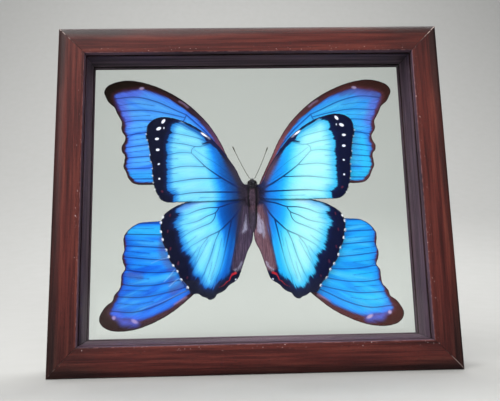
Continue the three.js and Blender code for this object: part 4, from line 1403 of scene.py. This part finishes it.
def makeStage(s):
    turns = np.linspace(0, math.pi / 2, s["steps"])
    r = s["bendRadius"]
    line = [(s["front"], 0)] + [(s["bend"] + r * math.sin(t), r - r * math.cos(t)) for t in turns]
    line.append((s["bend"] + r, s["top"]))
    vertices = [(x, y, z) for y, z in line for x in (-s["halfWidth"], s["halfWidth"])]
    faces = [(2 * i, 2 * i + 1, 2 * i + 3, 2 * i + 2) for i in range(len(line) - 1)]
    sweep = bpy.data.meshes.new("sweep")
    sweep.from_pydata(vertices, [], faces)
    sweep.shade_smooth()
    stage = bpy.data.objects.new("sweep", sweep)
    bpy.context.scene.collection.objects.link(stage)
    finish = Finish("palePaper", {"Specular IOR Level": 0.1})
    tooth = finish.noise(finish.place(0.05, 0.05, 0.05), 3.0)
    shade = finish.mix(tooth, (178, 178, 175), (184, 184, 182))
    near = finish.axis(finish.place(), 1).below(-800, -150)  # darker there, to stay out of the panes
    shade = finish.mix(near, shade, (84, 84, 84))
    sweep.materials.append(finish.surface(Base_Color=shade, Roughness=0.9 + tooth * 0.05))
    stage.visible_glossy = False  # keeps the bright paper out of the glass


def makeWorld(seen, lighting):  # pale to look at, dim in the glass
    world = bpy.data.worlds.new("softSky")
    bpy.context.scene.world = world
    world.use_nodes = True
    tree = Tree(world.node_tree)
    path = tree.node("ShaderNodeLightPath", output="Ray Depth")
    straight = (path - path.beside("Transmission Depth")).below(0.2, 0.8)  # not off any surface
    level = lighting * (1 - path.beside("Is Glossy Ray") * 0.6)
    background = world.node_tree.nodes["Background"]
    tree.feed(background.inputs["Color"], ink(240, 243, 250))
    tree.feed(background.inputs["Strength"], straight * (seen - level) + level)


def addLight(name, place, target, size, power, colour, shine=True):
    light = bpy.data.lights.new(name, "AREA")
    light.shape = "RECTANGLE"
    light.size, light.size_y = size
    light.energy = power
    light.color = colour
    holder = bpy.data.objects.new(name, light)
    holder.visible_camera = False
    holder.visible_glossy = holder.visible_transmission = shine  # a fill that stays out of the glass
    holder.location = place
    holder.rotation_euler = (Vector(target) - Vector(place)).to_track_quat("-Z", "Y").to_euler()
    bpy.context.scene.collection.objects.link(holder)


def makeCamera(s):
    camera = bpy.data.cameras.new("camera")
    camera.lens = s["lens"]
    camera.sensor_width = 36
    camera.shift_x, camera.shift_y = s["shift"]
    camera.clip_start = 0.01
    holder = bpy.data.objects.new("camera", camera)
    holder.location = [value * mm for value in s["place"]]
    holder.rotation_euler = [math.radians(value) for value in s["turn"]]
    bpy.context.scene.collection.objects.link(holder)
    bpy.context.scene.camera = holder


makeStage(stageSettings)
makeWorld(0.8, 0.1)
addLight("overhead", (-0.3, -0.45, 0.8), (0, 0, 0.08), (0.7, 0.5), 6.0, (1.0, 0.99, 0.98))
addLight("frontLeft", (-0.8, -0.6, 0.4), (0, 0, 0.08), (0.5, 0.6), 2.3, (0.97, 0.98, 1.0))
addLight("frontRight", (0.8, -0.5, 0.45), (0, 0, 0.08), (0.5, 0.6), 0.7, (1.0, 0.99, 0.97))
addLight("fill", (0, -1.0, 0.3), (0, 0, 0.08), (0.9, 0.6), 9.0, (1, 1, 1), shine=False)
addLight("behind", (0.25, 0.7, 0.7), (0, 0, 0.08), (0.7, 0.4), 2.5, (1, 1, 1), shine=False)
addLight("backdrop", (0, 0.4, 1.6), (0, 1.5, 0.3), (2.0, 0.6), 34, (1, 1, 1))
makeCamera({
    "lens": 39.85, "shift": (0.032, -0.08), "place": (-14.8, -256.6, 48.3), "turn": (100.094, 1.07, -1.372),
})
bpy.context.scene.view_settings.view_transform = "Standard"
